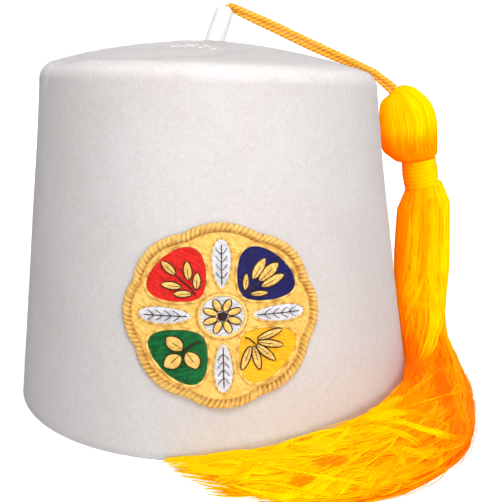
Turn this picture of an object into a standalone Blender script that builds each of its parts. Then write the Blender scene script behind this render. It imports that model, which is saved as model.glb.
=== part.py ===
"""Fez hat: a tapered felt crown with a stem, a doubled cord, a long tassel and a round embroidered patch.

Metres, +Z up. The origin is the centre of the head opening, in the plane of the rim. +X points to the side where
the tassel hangs, and -Y to the front, where the patch is. The hat stands on its rim and the tassel's free end lies
round the rim, on the same surface.
"""

from collections import namedtuple
from math import atan2, ceil, cos, exp, hypot, pi, radians, sin, tan

import bmesh
import bpy
from mathutils import Vector

GAP = 0.0003  # between pieces that touch

# Felt crown
FELT = 0.0022
RIM_HALF_WIDTH = 0.0858
RIM_HALF_LENGTH = 0.1057
EDGE_HALF_WIDTH = 0.0708  # at the top edge, before it is rounded
EDGE_HALF_LENGTH = 0.0904
EDGE_HEIGHT = 0.1363
EDGE_RADIUS = 0.0080
DOME_RISE = 0.0104
WALL_HOLLOW = 0.0006  # how far the wall draws in halfway up
WALL_SWAY = 0.0005  # and sags away from the tassel
LEAN_X = -0.0450  # the top edge is lower on the tassel's side
LEAN_Y = -0.0440  # and higher at the front
CROWN_SIDES = 52
WALL_RINGS = 5
EDGE_RINGS = 4
DOME_RINGS = 7
DENT_DEPTH = 0.0013
DENT_HALF_WIDTH = 0.0060

# Stem on the crown
STEM_RADIUS = 0.0038
STEM_FOOT_RADIUS = 0.0042
STEM_BORE_RADIUS = 0.0028
STEM_TILT = radians(20.8)
STEM_TOP = Vector((0.0068, 0.0, 0.1602))
STEM_SIDES = 16

# Doubled cord
CORD_DIAMETER = 0.0020
CORD_SPACING = 0.0024
CORD_STEP = 0.0042
CORD_BEVEL_RESOLUTION = 2

# Tassel
HEAD_Y = 0.0040
HEAD_SIDES = 14
WRAP_START = 0.04  # share of the neck's length
WRAP_END = 0.76
WRAP_THICKNESS = 0.0009
WRAP_SIDES = 24
CORE_SHARE = 0.66  # of the tassel's width and depth
CORE_SIDES = 12
CORE_STEPS = 26
LOCKS = 13
LOCK_SIDES = 6
LOCK_PLACE = 0.76  # of the way out from the tassel's middle line
LOCK_HALF_WIDTH = 0.21
LOCK_HALF_DEPTH = 0.24
LOCK_STEP = 0.0095
FUSE_VOXEL = 0.0014
FUSE_KEEP = 0.17  # share of the fused skin's triangles that are kept
FLOOR_BLOCK = 0.6

# Embroidered patch on the front wall
PATCH_CENTRE_X = 0.0071
PATCH_CENTRE_HEIGHT = 0.0506
PATCH_RADIUS = 0.0330
PATCH_WIDTH_SCALE = 1.02
PATCH_HEIGHT_SCALE = 0.91
SCALLOPS = 8
SCALLOP_DEPTH = 0.0017
PATCH_SIDES = 56
PATCH_BASE_THICKNESS = 0.0009
BORDER_WIDTH = 0.0027
BORDER_THICKNESS = 0.0019
BORDER_SIDES = 6
STITCH_THICKNESS = 0.0007
CENTRE_RADIUS = 0.0080
PETAL_START, PETAL_END, PETAL_HALF_WIDTH = 0.0097, 0.0298, 0.0115
LEAF_START, LEAF_END, LEAF_HALF_WIDTH = 0.0102, 0.0292, 0.0035

Dent = namedtuple("Dent", "x y")
DENT_LINE = [  # a shallow fold in the top, inside its front edge
    Dent(-0.058, -0.044),
    Dent(-0.044, -0.056),
    Dent(-0.030, -0.066),
    Dent(-0.015, -0.071),
    Dent(-0.004, -0.069),
    Dent(0.006, -0.060),
]

CordPoint = namedtuple("CordPoint", "x y z side")
CORD_ROUTE = [  # the pair's middle line; side turns the pair about it, 0 is one beside the other along Y
    CordPoint(0.0033, 0.0000, 0.1509, 0),
    CordPoint(0.0050, 0.0000, 0.1555, 0),
    CordPoint(0.0067, 0.0000, 0.1599, 5),
    CordPoint(0.0095, 0.0002, 0.1613, 20),
    CordPoint(0.0137, 0.0005, 0.1592, 45),
    CordPoint(0.0272, 0.0013, 0.1530, 75),
    CordPoint(0.0414, 0.0022, 0.1461, 78),
    CordPoint(0.0545, 0.0030, 0.1401, 60),
    CordPoint(0.0632, 0.0035, 0.1364, 32),
    CordPoint(0.0703, 0.0038, 0.1331, 26),
    CordPoint(0.0738, 0.0040, 0.1303, 45),
    CordPoint(0.0768, 0.0040, 0.1278, 65),
    CordPoint(0.0796, 0.0040, 0.1253, 80),
]

HeadRing = namedtuple("HeadRing", "x height tilt radius")
HEAD_RINGS = [  # from the cord down to the neck; tilt is the slope of the ring's plane, in degrees
    HeadRing(0.0799, 0.1248, 42, 0.0032),
    HeadRing(0.0817, 0.1241, 24, 0.0064),
    HeadRing(0.0829, 0.1215, 16, 0.0092),
    HeadRing(0.0848, 0.1171, 13, 0.0115),
    HeadRing(0.0863, 0.1116, 10, 0.0124),
    HeadRing(0.0868, 0.1060, 8, 0.0125),
    HeadRing(0.0873, 0.1005, 7, 0.0122),
    HeadRing(0.0888, 0.0979, 9, 0.0108),
    HeadRing(0.0902, 0.0957, 10, 0.0092),
]
NECK_TOP = HeadRing(0.0913, 0.0943, 10, 0.0066)
NECK_BOTTOM = HeadRing(0.0933, 0.0800, 16, 0.0064)

# The tassel's path. round_hat is the angle from +X towards the front, inner and outer are the distances of its two
# sides from the crown's wall, and depth is its half size the other way: along the wall where it hangs, upwards
# where it lies.
TasselSection = namedtuple("TasselSection", "round_hat height inner outer depth")
TASSEL_SECTIONS = [
    TasselSection(-2.2, 0.0826, 0.0095, 0.0245, 0.0080),
    TasselSection(-2.2, 0.0768, 0.0062, 0.0277, 0.0104),
    TasselSection(-2.2, 0.0580, 0.0030, 0.0267, 0.0115),
    TasselSection(-2.0, 0.0440, 0.0010, 0.0251, 0.0122),
    TasselSection(-1.0, 0.0320, 0.0004, 0.0222, 0.0122),
    TasselSection(1.0, 0.0220, 0.0004, 0.0204, 0.0118),
    TasselSection(5.5, 0.0120, 0.0004, 0.0202, 0.0116),
    TasselSection(13.0, 0.0062, 0.0004, 0.0232, 0.0113),
    TasselSection(22.0, 0.0036, 0.0004, 0.0281, 0.0110),
    TasselSection(32.0, 0.0025, 0.0004, 0.0343, 0.0106),
    TasselSection(42.0, 0.0020, 0.0004, 0.0406, 0.0100),
    TasselSection(52.0, 0.0018, 0.0004, 0.0456, 0.0091),
    TasselSection(61.0, 0.0016, 0.0004, 0.0482, 0.0081),
    TasselSection(70.0, 0.0014, 0.0004, 0.0475, 0.0070),
    TasselSection(79.0, 0.0012, 0.0004, 0.0430, 0.0058),
    TasselSection(88.0, 0.0010, 0.0004, 0.0340, 0.0046),
    TasselSection(98.0, 0.0010, 0.0004, 0.0180, 0.0033),
]
SHOULDER_SLOPE = 0.28  # the skirt starts higher on its outer side
SHOULDER_END = 2.0  # counted in sections, as all below
CORE_END = 14.4
LOCK_START = 0.35
LONGEST_LOCK_END = 16.1
SHORTEST_LOCK_END = 15.0
LOCK_STAGGER = 0.3
LOCK_TAPER_RUN = 1.9
LOCK_TIP = 0.22  # share of its width that a lock keeps at its tip
LOCK_SWAY = 0.05
LOCK_SWAY_PACE = 5.0
LOCK_SWAY_SHIFT = 2.1  # from each lock to the next

Finish = namedtuple("Finish", "colour roughness")
FINISHES = {
    "white_felt": Finish((0.80, 0.77, 0.75, 1.0), 0.92),
    "white_stem": Finish((0.88, 0.88, 0.87, 1.0), 0.45),
    "gold_cord": Finish((0.86, 0.42, 0.03, 1.0), 0.55),
    "yellow_silk": Finish((0.95, 0.56, 0.02, 1.0), 0.45),
    "gold_thread": Finish((0.80, 0.52, 0.12, 1.0), 0.50),
    "cream_twill": Finish((0.86, 0.74, 0.42, 1.0), 0.75),
    "red_thread": Finish((0.72, 0.04, 0.03, 1.0), 0.55),
    "navy_thread": Finish((0.03, 0.03, 0.22, 1.0), 0.55),
    "green_thread": Finish((0.02, 0.22, 0.07, 1.0), 0.55),
    "white_thread": Finish((0.82, 0.82, 0.84, 1.0), 0.55),
}


def clear_scene():
    for old in list(bpy.data.objects):
        bpy.data.objects.remove(old, do_unlink=True)


def material(name):
    found = bpy.data.materials.get(name)
    if found:
        return found
    made = bpy.data.materials.new(name)
    made.use_nodes = True
    shader = made.node_tree.nodes["Principled BSDF"]
    shader.inputs["Base Color"].default_value = FINISHES[name].colour
    shader.inputs["Roughness"].default_value = FINISHES[name].roughness
    return made


def add_object(name, data, finish):
    made = bpy.data.objects.new(name, data)
    made.data.materials.append(material(finish))
    bpy.context.collection.objects.link(made)
    return made


def add_mesh(name, bm, finish, sharp=40):
    bmesh.ops.recalc_face_normals(bm, faces=bm.faces[:])
    data = bpy.data.meshes.new(name)
    bm.to_mesh(data)
    bm.free()
    data.shade_smooth()
    data.set_sharp_from_angle(angle=radians(sharp))
    return add_object(name, data, finish)


def skin(bm, rings, closed_ends=True):
    """Join each ring of vertices to the next with quads, and cap the first and the last."""
    loops = [[bm.verts.new(point) for point in ring] for ring in rings]
    for lower, upper in zip(loops, loops[1:]):
        for i in range(len(lower)):
            j = (i + 1) % len(lower)
            bm.faces.new((lower[i], lower[j], upper[j], upper[i]))
    if closed_ends:
        bm.faces.new(list(reversed(loops[0])))
        bm.faces.new(loops[-1])
    return loops


def along(values, t):
    """Catmull-Rom value at t, where whole numbers fall on the given values."""
    i = min(int(t), len(values) - 2)
    s = t - i
    p0 = values[max(i - 1, 0)]
    p1, p2 = values[i], values[i + 1]
    p3 = values[min(i + 2, len(values) - 1)]
    return 0.5 * (2 * p1 + (p2 - p0) * s + (2 * p0 - 5 * p1 + 4 * p2 - p3) * s**2 + (3 * p1 - p0 - 3 * p2 + p3) * s**3)


# ---- crown ----


def leaned(x, y, height):
    """The crown's point once its top leans, more the higher it is, and its wall sways."""
    sway = WALL_SWAY * sin(pi * min(height / EDGE_HEIGHT, 1))
    return Vector((x - sway, y, height * (1 + (LEAN_X * x + LEAN_Y * y) / EDGE_HEIGHT)))


def wall_half_sizes(height):
    share = height / EDGE_HEIGHT
    hollow = WALL_HOLLOW * sin(pi * min(share, 1))
    half_width = RIM_HALF_WIDTH + (EDGE_HALF_WIDTH - RIM_HALF_WIDTH) * share - hollow
    half_length = RIM_HALF_LENGTH + (EDGE_HALF_LENGTH - RIM_HALF_LENGTH) * share - hollow
    return half_width, half_length


def wall_point(angle, height, outwards=0.0):
    """A point beside the crown's wall. angle turns from +X towards the front."""
    half_width, half_length = wall_half_sizes(height)
    out = Vector((cos(angle) / half_width, -sin(angle) / half_length, 0)).normalized()
    return Vector((half_width * cos(angle), -half_length * sin(angle), height)) + out * outwards, out


def crown_outline():
    """(half width, half length, height) of each ring, from the rim to the top of the dome."""
    rows = []
    wall_top = EDGE_HEIGHT - EDGE_RADIUS
    for i in range(WALL_RINGS + 1):
        height = wall_top * i / WALL_RINGS
        rows.append((*wall_half_sizes(height), height))
    width_in = rows[-1][0] - EDGE_RADIUS
    length_in = rows[-1][1] - EDGE_RADIUS
    dome_slope = atan2(2 * DOME_RISE, width_in)
    for i in range(1, EDGE_RINGS + 1):
        turn = (pi / 2 - dome_slope) * i / EDGE_RINGS
        rise = EDGE_RADIUS * sin(turn)
        rows.append((width_in + EDGE_RADIUS * cos(turn), length_in + EDGE_RADIUS * cos(turn), wall_top + rise))
    last_width, last_length, last_height = rows[-1]
    for i in range(1, DOME_RINGS):
        share = 1 - i / DOME_RINGS
        height = last_height + (EDGE_HEIGHT + DOME_RISE - last_height) * (1 - share**2)
        rows.append((last_width * share, last_length * share, height))
    return rows


def dent(x, y):
    """How far the fold in the top sinks at (x, y)."""
    nearest = 1.0
    for a, b in zip(DENT_LINE, DENT_LINE[1:]):
        length = hypot(b.x - a.x, b.y - a.y)
        share = ((x - a.x) * (b.x - a.x) + (y - a.y) * (b.y - a.y)) / length**2
        share = min(max(share, 0), 1)
        nearest = min(nearest, hypot(x - a.x - share * (b.x - a.x), y - a.y - share * (b.y - a.y)))
    return DENT_DEPTH * exp(-((nearest / DENT_HALF_WIDTH) ** 2))


def crown_top_height(x, y):
    """Height of the dome's outer face over (x, y)."""
    rows = crown_outline()
    last_width, last_length, last_height = rows[WALL_RINGS + EDGE_RINGS]
    share = hypot(x / last_width, y / last_length)
    height = last_height + (EDGE_HEIGHT + DOME_RISE - last_height) * (1 - share**2)
    return leaned(x, y, height).z


def crown():
    bm = bmesh.new()
    rings = []
    for half_width, half_length, height in crown_outline():
        ring = []
        for i in range(CROWN_SIDES):
            angle = 2 * pi * i / CROWN_SIDES
            point = leaned(half_width * cos(angle), half_length * sin(angle), height)
            if height > EDGE_HEIGHT - EDGE_RADIUS:
                point.z -= dent(point.x, point.y)
            ring.append(point)
        rings.append(ring)
    loops = skin(bm, rings, closed_ends=False)
    peak = bm.verts.new(leaned(0, 0, EDGE_HEIGHT + DOME_RISE))
    top = loops[-1]
    for i in range(CROWN_SIDES):
        bm.faces.new((top[i], top[(i + 1) % CROWN_SIDES], peak))
    bmesh.ops.recalc_face_normals(bm, faces=bm.faces[:])
    bm.normal_update()
    inner = {v: bm.verts.new(v.co - v.normal * FELT) for v in bm.verts[:]}
    for v in loops[0]:
        inner[v].co.z = 0
    for face in bm.faces[:]:
        bm.faces.new([inner[v] for v in reversed(face.verts)])
    rim = loops[0]
    for i in range(CROWN_SIDES):
        j = (i + 1) % CROWN_SIDES
        bm.faces.new((rim[j], rim[i], inner[rim[i]], inner[rim[j]]))
    add_mesh("crown", bm, "white_felt")


# ---- stem ----


def rim_rise(radius, toward_cord):
    """How far the stem's rim stands above a square cut: it is level, and dips where the cord lies in it."""
    dip = 2 * max(0.0, toward_cord) ** 2
    return tan(STEM_TILT) * (STEM_RADIUS * (1 - dip) + radius * toward_cord)


def stem():
    """A tube leaning towards the tassel, its foot cut to the dome."""
    axis = Vector((sin(STEM_TILT), 0, cos(STEM_TILT)))
    across = Vector((cos(STEM_TILT), 0, -sin(STEM_TILT)))
    side = Vector((0, 1, 0))

    def ring(radius, to_dome):
        points = []
        for i in range(STEM_SIDES):
            angle = 2 * pi * i / STEM_SIDES
            top = STEM_TOP + (across * cos(angle) + side * sin(angle)) * radius
            length = -rim_rise(radius, cos(angle))
            if to_dome:
                for _ in range(12):
                    foot = top - axis * length
                    length += (foot.z - crown_top_height(foot.x, foot.y) - GAP) / axis.z
            points.append(top - axis * length)
        return points

    bm = bmesh.new()
    outer_foot, outer_top, inner_top, inner_foot = skin(
        bm,
        [
            ring(STEM_FOOT_RADIUS, True),
            ring(STEM_RADIUS, False),
            ring(STEM_BORE_RADIUS, False),
            ring(STEM_BORE_RADIUS, True),
        ],
        closed_ends=False,
    )
    for i in range(STEM_SIDES):
        j = (i + 1) % STEM_SIDES
        bm.faces.new((inner_foot[i], inner_foot[j], outer_foot[j], outer_foot[i]))
    add_mesh("stem", bm, "white_stem")


# ---- cord ----


def cord_points(sign):
    """Points of one strand, read from the smooth route at even steps."""

    def centre(t):
        return Vector([along([getattr(p, key) for p in CORD_ROUTE], t) for key in ("x", "y", "z")])

    last = len(CORD_ROUTE) - 1
    length = sum((centre((i + 1) * last / 200) - centre(i * last / 200)).length for i in range(200))
    count = ceil(length / CORD_STEP)
    points, walked, before = [], 0.0, centre(0)
    for i in range(1, 2001):
        t = last * i / 2000
        here = centre(t)
        if len(points) <= walked / length * count:
            points.append(strand_point(centre, t, sign))
        walked += (here - before).length
        before = here
    points.append(strand_point(centre, last, sign))
    return points


def strand_point(centre, t, sign):
    last = len(CORD_ROUTE) - 1
    ahead = centre(min(t + 0.02, last)) - centre(max(t - 0.02, 0))
    level = Vector((0, 1, 0))
    upward = ahead.cross(level).normalized() * -1
    turn = radians(along([p.side for p in CORD_ROUTE], t))
    return centre(t) + (level * cos(turn) + upward * sin(turn)) * sign * CORD_SPACING / 2


def cord_strand(name, sign):
    data = bpy.data.curves.new(name, "CURVE")
    data.dimensions = "3D"
    data.bevel_depth = CORD_DIAMETER / 2
    data.bevel_resolution = CORD_BEVEL_RESOLUTION
    data.use_fill_caps = True
    points = cord_points(sign)
    line = data.splines.new("POLY")
    line.points.add(len(points) - 1)
    for slot, point in zip(line.points, points):
        slot.co = (*point, 1)
    add_object(name, data, "gold_cord")


# ---- tassel ----


def head_ring(row, sides, thicker=0.0):
    tilt = radians(row.tilt)
    across = Vector((cos(tilt), 0, sin(tilt)))
    side = Vector((0, 1, 0))
    centre = Vector((row.x, HEAD_Y, row.height))
    turns = [2 * pi * i / sides for i in range(sides)]
    return [centre + (across * cos(a) + side * sin(a)) * (row.radius + thicker) for a in turns]


def neck_ring(share):
    """The neck's ring at a share of the way down it."""
    return HeadRing(*(top + (bottom - top) * share for top, bottom in zip(NECK_TOP, NECK_BOTTOM)))


def tassel_frame(t):
    """Centre, outward and second direction, half width and half depth of the tassel at t, counted in sections."""

    def read(key, at):
        return along([getattr(s, key) for s in TASSEL_SECTIONS], at)

    def centre(at):
        middle = (read("inner", at) + read("outer", at)) / 2
        return wall_point(radians(read("round_hat", at)), read("height", at), middle)

    here, out = centre(t)
    last = len(TASSEL_SECTIONS) - 1
    ahead = centre(min(t + 0.05, last))[0] - centre(max(t - 0.05, 0))[0]
    shoulder = SHOULDER_SLOPE * max(0.0, 1 - t / SHOULDER_END)
    out = (out + Vector((0, 0, shoulder))).normalized()
    second = ahead.cross(out).normalized()
    return here, out, second, (read("outer", t) - read("inner", t)) / 2, read("depth", t)


def tassel_ring(t, across, deep, half_across, half_deep, sides):
    """An oval ring of the tassel. across and deep place it in the section, from -1 to 1."""
    here, out, second, width, depth = tassel_frame(t)
    ring = []
    for i in range(sides):
        angle = 2 * pi * i / sides
        u = (across + half_across * cos(angle)) * width
        v = (deep + half_deep * sin(angle)) * depth
        ring.append(here + out * u + second * v)
    return ring


def lock_places():
    """Across and deep place of each lock: two rows, one over the other, that meet at the sides."""
    places = []
    for i in range(LOCKS):
        angle = 2 * pi * i / LOCKS
        places.append((cos(angle) * LOCK_PLACE, sin(angle) * LOCK_PLACE))
    return places


def lock_rings(index, across, deep):
    """One lock, from the neck to its own tip. The locks beside the rim run furthest round the hat."""
    end = SHORTEST_LOCK_END + (LONGEST_LOCK_END - SHORTEST_LOCK_END) * (0.5 - across / LOCK_PLACE / 2)
    end -= LOCK_STAGGER * (index % 3)
    length, t, stops = 0.0, LOCK_START, [LOCK_START]
    here = tassel_frame(t)[0]
    while t < end:
        t += 0.02
        step = (tassel_frame(t)[0] - here).length
        length += step
        here = tassel_frame(t)[0]
        if length >= LOCK_STEP:
            stops.append(t)
            length = 0.0
    rings = []
    for t in stops:
        taper = min(1.0, LOCK_TIP + (end - t) / LOCK_TAPER_RUN)
        sway = LOCK_SWAY * sin(LOCK_SWAY_PACE * t + LOCK_SWAY_SHIFT * index)
        half_width, half_depth = LOCK_HALF_WIDTH * taper, LOCK_HALF_DEPTH * taper
        rings.append(tassel_ring(t, across + sway, deep, half_width, half_depth, LOCK_SIDES))
    return rings


def keep_outer_skin(bm):
    """Fill the small hollows between the locks by deleting every skin but the largest."""
    waiting = set(bm.verts)
    skins = []
    while waiting:
        found, edge_of_search = set(), [next(iter(waiting))]
        while edge_of_search:
            vert = edge_of_search.pop()
            if vert in found:
                continue
            found.add(vert)
            edge_of_search += [edge.other_vert(vert) for edge in vert.link_edges]
        waiting -= found
        skins.append(found)
    skins.sort(key=len)
    for inner in skins[:-1]:
        bmesh.ops.delete(bm, geom=list(inner), context="VERTS")


def core_rings():
    rings = []
    for i in range(CORE_STEPS + 1):
        share = i / CORE_STEPS
        size = CORE_SHARE * min(1.0, 0.35 + 4.0 * (1 - share))
        rings.append(tassel_ring(CORE_END * share, 0, 0, size, size, CORE_SIDES))
    return rings


def evaluated_bmesh(made):
    """The object's mesh with its modifiers applied. The object itself is removed."""
    result = bpy.data.meshes.new_from_object(made.evaluated_get(bpy.context.evaluated_depsgraph_get()))
    bpy.data.objects.remove(made, do_unlink=True)
    bm = bmesh.new()
    bm.from_mesh(result)
    bpy.data.meshes.remove(result)
    return bm


def fused(bm):
    """The overlapping tubes as one skin."""
    made = add_mesh("tassel_tubes", bm, "yellow_silk")
    fuse = made.modifiers.new("fuse", "REMESH")
    fuse.mode = "VOXEL"
    fuse.voxel_size = FUSE_VOXEL
    fewer = made.modifiers.new("fewer", "DECIMATE")
    fewer.ratio = FUSE_KEEP
    bm = evaluated_bmesh(made)
    keep_outer_skin(bm)
    return bm


def floor_block():
    """What lies under the surface that the hat stands on, to cut the tassel flat."""
    bm = bmesh.new()
    bmesh.ops.create_cube(bm, size=FLOOR_BLOCK)
    bmesh.ops.translate(bm, verts=bm.verts[:], vec=(0, 0, -FLOOR_BLOCK / 2))
    return add_mesh("floor_block", bm, "yellow_silk")


def tassel():
    """Head, core and locks, fused into one body that lies flat on the floor."""
    bm = bmesh.new()
    skin(bm, [head_ring(row, HEAD_SIDES) for row in [*HEAD_RINGS, NECK_TOP, NECK_BOTTOM]])
    skin(bm, core_rings())
    for index, (across, deep) in enumerate(lock_places()):
        skin(bm, lock_rings(index, across, deep))
    made = add_mesh("tassel_whole", fused(bm), "yellow_silk")
    block = floor_block()
    flat = made.modifiers.new("flat", "BOOLEAN")
    flat.operation = "DIFFERENCE"
    flat.object = block
    flat.solver = "EXACT"
    bm = evaluated_bmesh(made)
    bpy.data.objects.remove(block, do_unlink=True)
    keep_outer_skin(bm)
    add_mesh("tassel", bm, "yellow_silk")


def neck_wrap():
    """The thread wound round the tassel's neck, as one sleeve."""
    inside, outside = GAP * 1.5, GAP * 1.5 + WRAP_THICKNESS
    bm = bmesh.new()
    loops = skin(
        bm,
        [
            head_ring(neck_ring(WRAP_START), WRAP_SIDES, inside),
            head_ring(neck_ring(WRAP_START), WRAP_SIDES, outside),
            head_ring(neck_ring(WRAP_END), WRAP_SIDES, outside),
            head_ring(neck_ring(WRAP_END), WRAP_SIDES, inside),
        ],
        closed_ends=False,
    )
    first, last = loops[0], loops[-1]
    for i in range(WRAP_SIDES):
        j = (i + 1) % WRAP_SIDES
        bm.faces.new((last[i], last[j], first[j], first[i]))
    add_mesh("neck_wrap", bm, "yellow_silk")


# ---- patch ----


def on_wall(u, v, outwards):
    """A point over the front wall: u across and v up from the patch's centre, before the patch is made oval."""
    height = PATCH_CENTRE_HEIGHT + v * PATCH_HEIGHT_SCALE
    half_width, half_length = wall_half_sizes(height)
    turn = (PATCH_CENTRE_X + u * PATCH_WIDTH_SCALE) / half_width
    x, y = half_width * sin(turn), -half_length * cos(turn)
    slope = (RIM_HALF_LENGTH - EDGE_HALF_LENGTH) / EDGE_HEIGHT
    out = Vector((sin(turn) / half_width, -cos(turn) / half_length, 0)).normalized()
    out = (out + Vector((0, 0, slope))).normalized()
    return leaned(x, y, height) + out * outwards


def scalloped(angle, inset=0.0):
    """Radius of the patch's outline."""
    return PATCH_RADIUS - inset + SCALLOP_DEPTH * abs(cos(SCALLOPS * angle / 2))


def petal_outline(start, end, half_width, turn, points=16, fullness=0.8):
    """A petal or leaf that points away from the patch's centre: round outside and narrow inside."""
    outline = []
    for i in range(points):
        angle = 2 * pi * i / points
        share = (1 - cos(angle)) / 2
        reach = start + (end - start) * share
        width = half_width * sin(angle) * (1 - fullness * (0.5 - share))
        outline.append((reach * cos(turn) - width * sin(turn), reach * sin(turn) + width * cos(turn)))
    return outline


def wall_plate(name, outline, finish, lift, thickness, rings=1):
    """A thin plate with the given outline, bent to the wall."""
    centre_u = sum(u for u, _ in outline) / len(outline)
    centre_v = sum(v for _, v in outline) / len(outline)
    bm = bmesh.new()

    def layer(outwards, share):
        return [
            on_wall(centre_u + (u - centre_u) * share, centre_v + (v - centre_v) * share, outwards)
            for u, v in outline
        ]

    shares = [(i + 1) / (rings + 1) for i in range(rings + 1)]
    back = [layer(lift, share) for share in shares]
    front = [layer(lift + thickness, share) for share in reversed(shares)]
    loops = skin(bm, back + front, closed_ends=False)
    for loop, outwards in ((loops[0], lift), (loops[-1], lift + thickness)):
        middle = bm.verts.new(on_wall(centre_u, centre_v, outwards))
        for i in range(len(loop)):
            bm.faces.new((loop[i], loop[(i + 1) % len(loop)], middle))
    add_mesh(name, bm, finish)


def patch():
    base_lift = GAP
    stitch_lift = base_lift + PATCH_BASE_THICKNESS + GAP
    turns = [2 * pi * i / PATCH_SIDES for i in range(PATCH_SIDES)]
    inset = BORDER_WIDTH + GAP
    base = [(scalloped(a, inset) * cos(a), scalloped(a, inset) * sin(a)) for a in turns]
    wall_plate("patch_base", base, "cream_twill", base_lift, PATCH_BASE_THICKNESS, rings=2)
    patch_border(turns)
    disc = [(CENTRE_RADIUS * cos(a), CENTRE_RADIUS * sin(a)) for a in turns[::4]]
    wall_plate("patch_centre", disc, "white_thread", stitch_lift, STITCH_THICKNESS, rings=1)
    petals = {"navy": 45, "red": 135, "green": 225, "gold": 315}
    for colour, turn in petals.items():
        outline = petal_outline(PETAL_START, PETAL_END, PETAL_HALF_WIDTH, radians(turn))
        wall_plate(f"petal_{colour}", outline, f"{colour}_thread", stitch_lift, STITCH_THICKNESS)
    leaves = {"right": 0, "top": 90, "left": 180, "bottom": 270}
    for place, turn in leaves.items():
        outline = petal_outline(LEAF_START, LEAF_END, LEAF_HALF_WIDTH, radians(turn), points=12, fullness=0.3)
        wall_plate(f"leaf_{place}", outline, "white_thread", stitch_lift, STITCH_THICKNESS)


def patch_border(turns):
    """The overcast edge: a rounded band all round the base."""
    bm = bmesh.new()
    rings = []
    for a in turns:
        middle = scalloped(a) - BORDER_WIDTH / 2
        ring = []
        for i in range(BORDER_SIDES):
            angle = 2 * pi * (i + 0.5) / BORDER_SIDES
            radius = middle + BORDER_WIDTH / 2 * cos(angle)
            lift = GAP + BORDER_THICKNESS / 2 * (1 + sin(angle))
            ring.append(on_wall(radius * cos(a), radius * sin(a), lift))
        rings.append(ring)
    loops = skin(bm, rings, closed_ends=False)
    first, last = loops[0], loops[-1]
    for i in range(BORDER_SIDES):
        j = (i + 1) % BORDER_SIDES
        bm.faces.new((last[i], last[j], first[j], first[i]))
    add_mesh("patch_border", bm, "gold_thread")


def main():
    clear_scene()
    crown()
    stem()
    cord_strand("cord_strand_1", 1)
    cord_strand("cord_strand_2", -1)
    tassel()
    neck_wrap()
    patch()


main()
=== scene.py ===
"""The looks of a white felt fez with a gold tassel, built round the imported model.

Metres, in the model's own frame: +Z up, -Y the front with the patch, +X the side where the tassel hangs.
"""

from collections import namedtuple
from math import atan2, ceil, cos, hypot, pi, radians, sin, tan

import bmesh
import bpy
import numpy as np
from mathutils import Matrix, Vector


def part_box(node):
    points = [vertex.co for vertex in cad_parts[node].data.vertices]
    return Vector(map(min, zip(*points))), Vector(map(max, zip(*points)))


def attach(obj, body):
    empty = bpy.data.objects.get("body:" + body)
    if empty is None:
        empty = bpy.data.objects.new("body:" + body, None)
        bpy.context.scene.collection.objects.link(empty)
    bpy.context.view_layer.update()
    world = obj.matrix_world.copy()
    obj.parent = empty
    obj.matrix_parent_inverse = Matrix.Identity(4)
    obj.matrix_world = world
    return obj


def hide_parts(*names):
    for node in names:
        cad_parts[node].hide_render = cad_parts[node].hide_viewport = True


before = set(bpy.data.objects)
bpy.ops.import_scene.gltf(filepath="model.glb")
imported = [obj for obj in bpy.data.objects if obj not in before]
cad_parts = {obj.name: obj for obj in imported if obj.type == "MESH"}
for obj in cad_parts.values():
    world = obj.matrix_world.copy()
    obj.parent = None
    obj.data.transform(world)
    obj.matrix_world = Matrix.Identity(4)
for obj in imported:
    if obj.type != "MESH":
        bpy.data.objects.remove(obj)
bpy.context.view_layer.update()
rng = np.random.default_rng(11)

# Camera, fitted to the photo
CAMERA_PLACE = (0.0195, -0.4398, 0.1452)
CAMERA_DOWN = radians(11.61)
CAMERA_LEFT = radians(0.40)
CAMERA_ROLL = radians(-0.79)
CAMERA_LENS = 71.8

# Crown, as in the model
RIM_HALF_WIDTH, RIM_HALF_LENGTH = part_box("crown")[1].xy
FELT = 0.0022
EDGE_HALF_WIDTH, EDGE_HALF_LENGTH = 0.0708, 0.0904
EDGE_HEIGHT, EDGE_RADIUS, DOME_RISE = 0.1363, 0.0080, 0.0104
WALL_HOLLOW, WALL_SWAY = 0.0006, 0.0005
LEAN_X, LEAN_Y = -0.0450, -0.0440
DENT_DEPTH, DENT_HALF_WIDTH = 0.0017, 0.0052
DENT_LINE = [
    (-0.058, -0.044), (-0.044, -0.056), (-0.030, -0.066), (-0.015, -0.071), (-0.004, -0.069), (0.006, -0.060),
]
CROWN_SIDES, WALL_RINGS, EDGE_RINGS, DOME_RINGS = 200, 40, 14, 38
RIM_ROUNDING = 0.0005
FELT_UNEVEN = 0.00022
FIBRES, FIBRE_STEPS, FIBRE_RADIUS = 3800, 4, 0.000028
STITCH_RADIUS, STITCH_BOW = 0.00017, 0.00025
TOP_STITCHES = [  # x, y, turn in degrees, half length
    (-0.0112, -0.0548, 20, 0.0013), (-0.0098, -0.0500, 62, 0.0012), (-0.0078, -0.0552, -24, 0.0015),
    (-0.0064, -0.0488, 34, 0.0010), (-0.0044, -0.0538, 16, 0.0014), (-0.0030, -0.0496, -50, 0.0012),
    (-0.0010, -0.0560, 38, 0.0011), (0.0012, -0.0522, -18, 0.0015), (0.0036, -0.0556, 24, 0.0010),
]

# Stem
STEM_RADIUS, STEM_FOOT_RADIUS, STEM_BORE_RADIUS, STEM_TILT = 0.0038, 0.0042, 0.0028, radians(20.8)
STEM_TOP = np.array((0.0068, 0.0, 0.1602))
STEM_SIDES, STEM_LIP, STEM_FLARE = 64, 0.00035, 0.05

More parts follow.
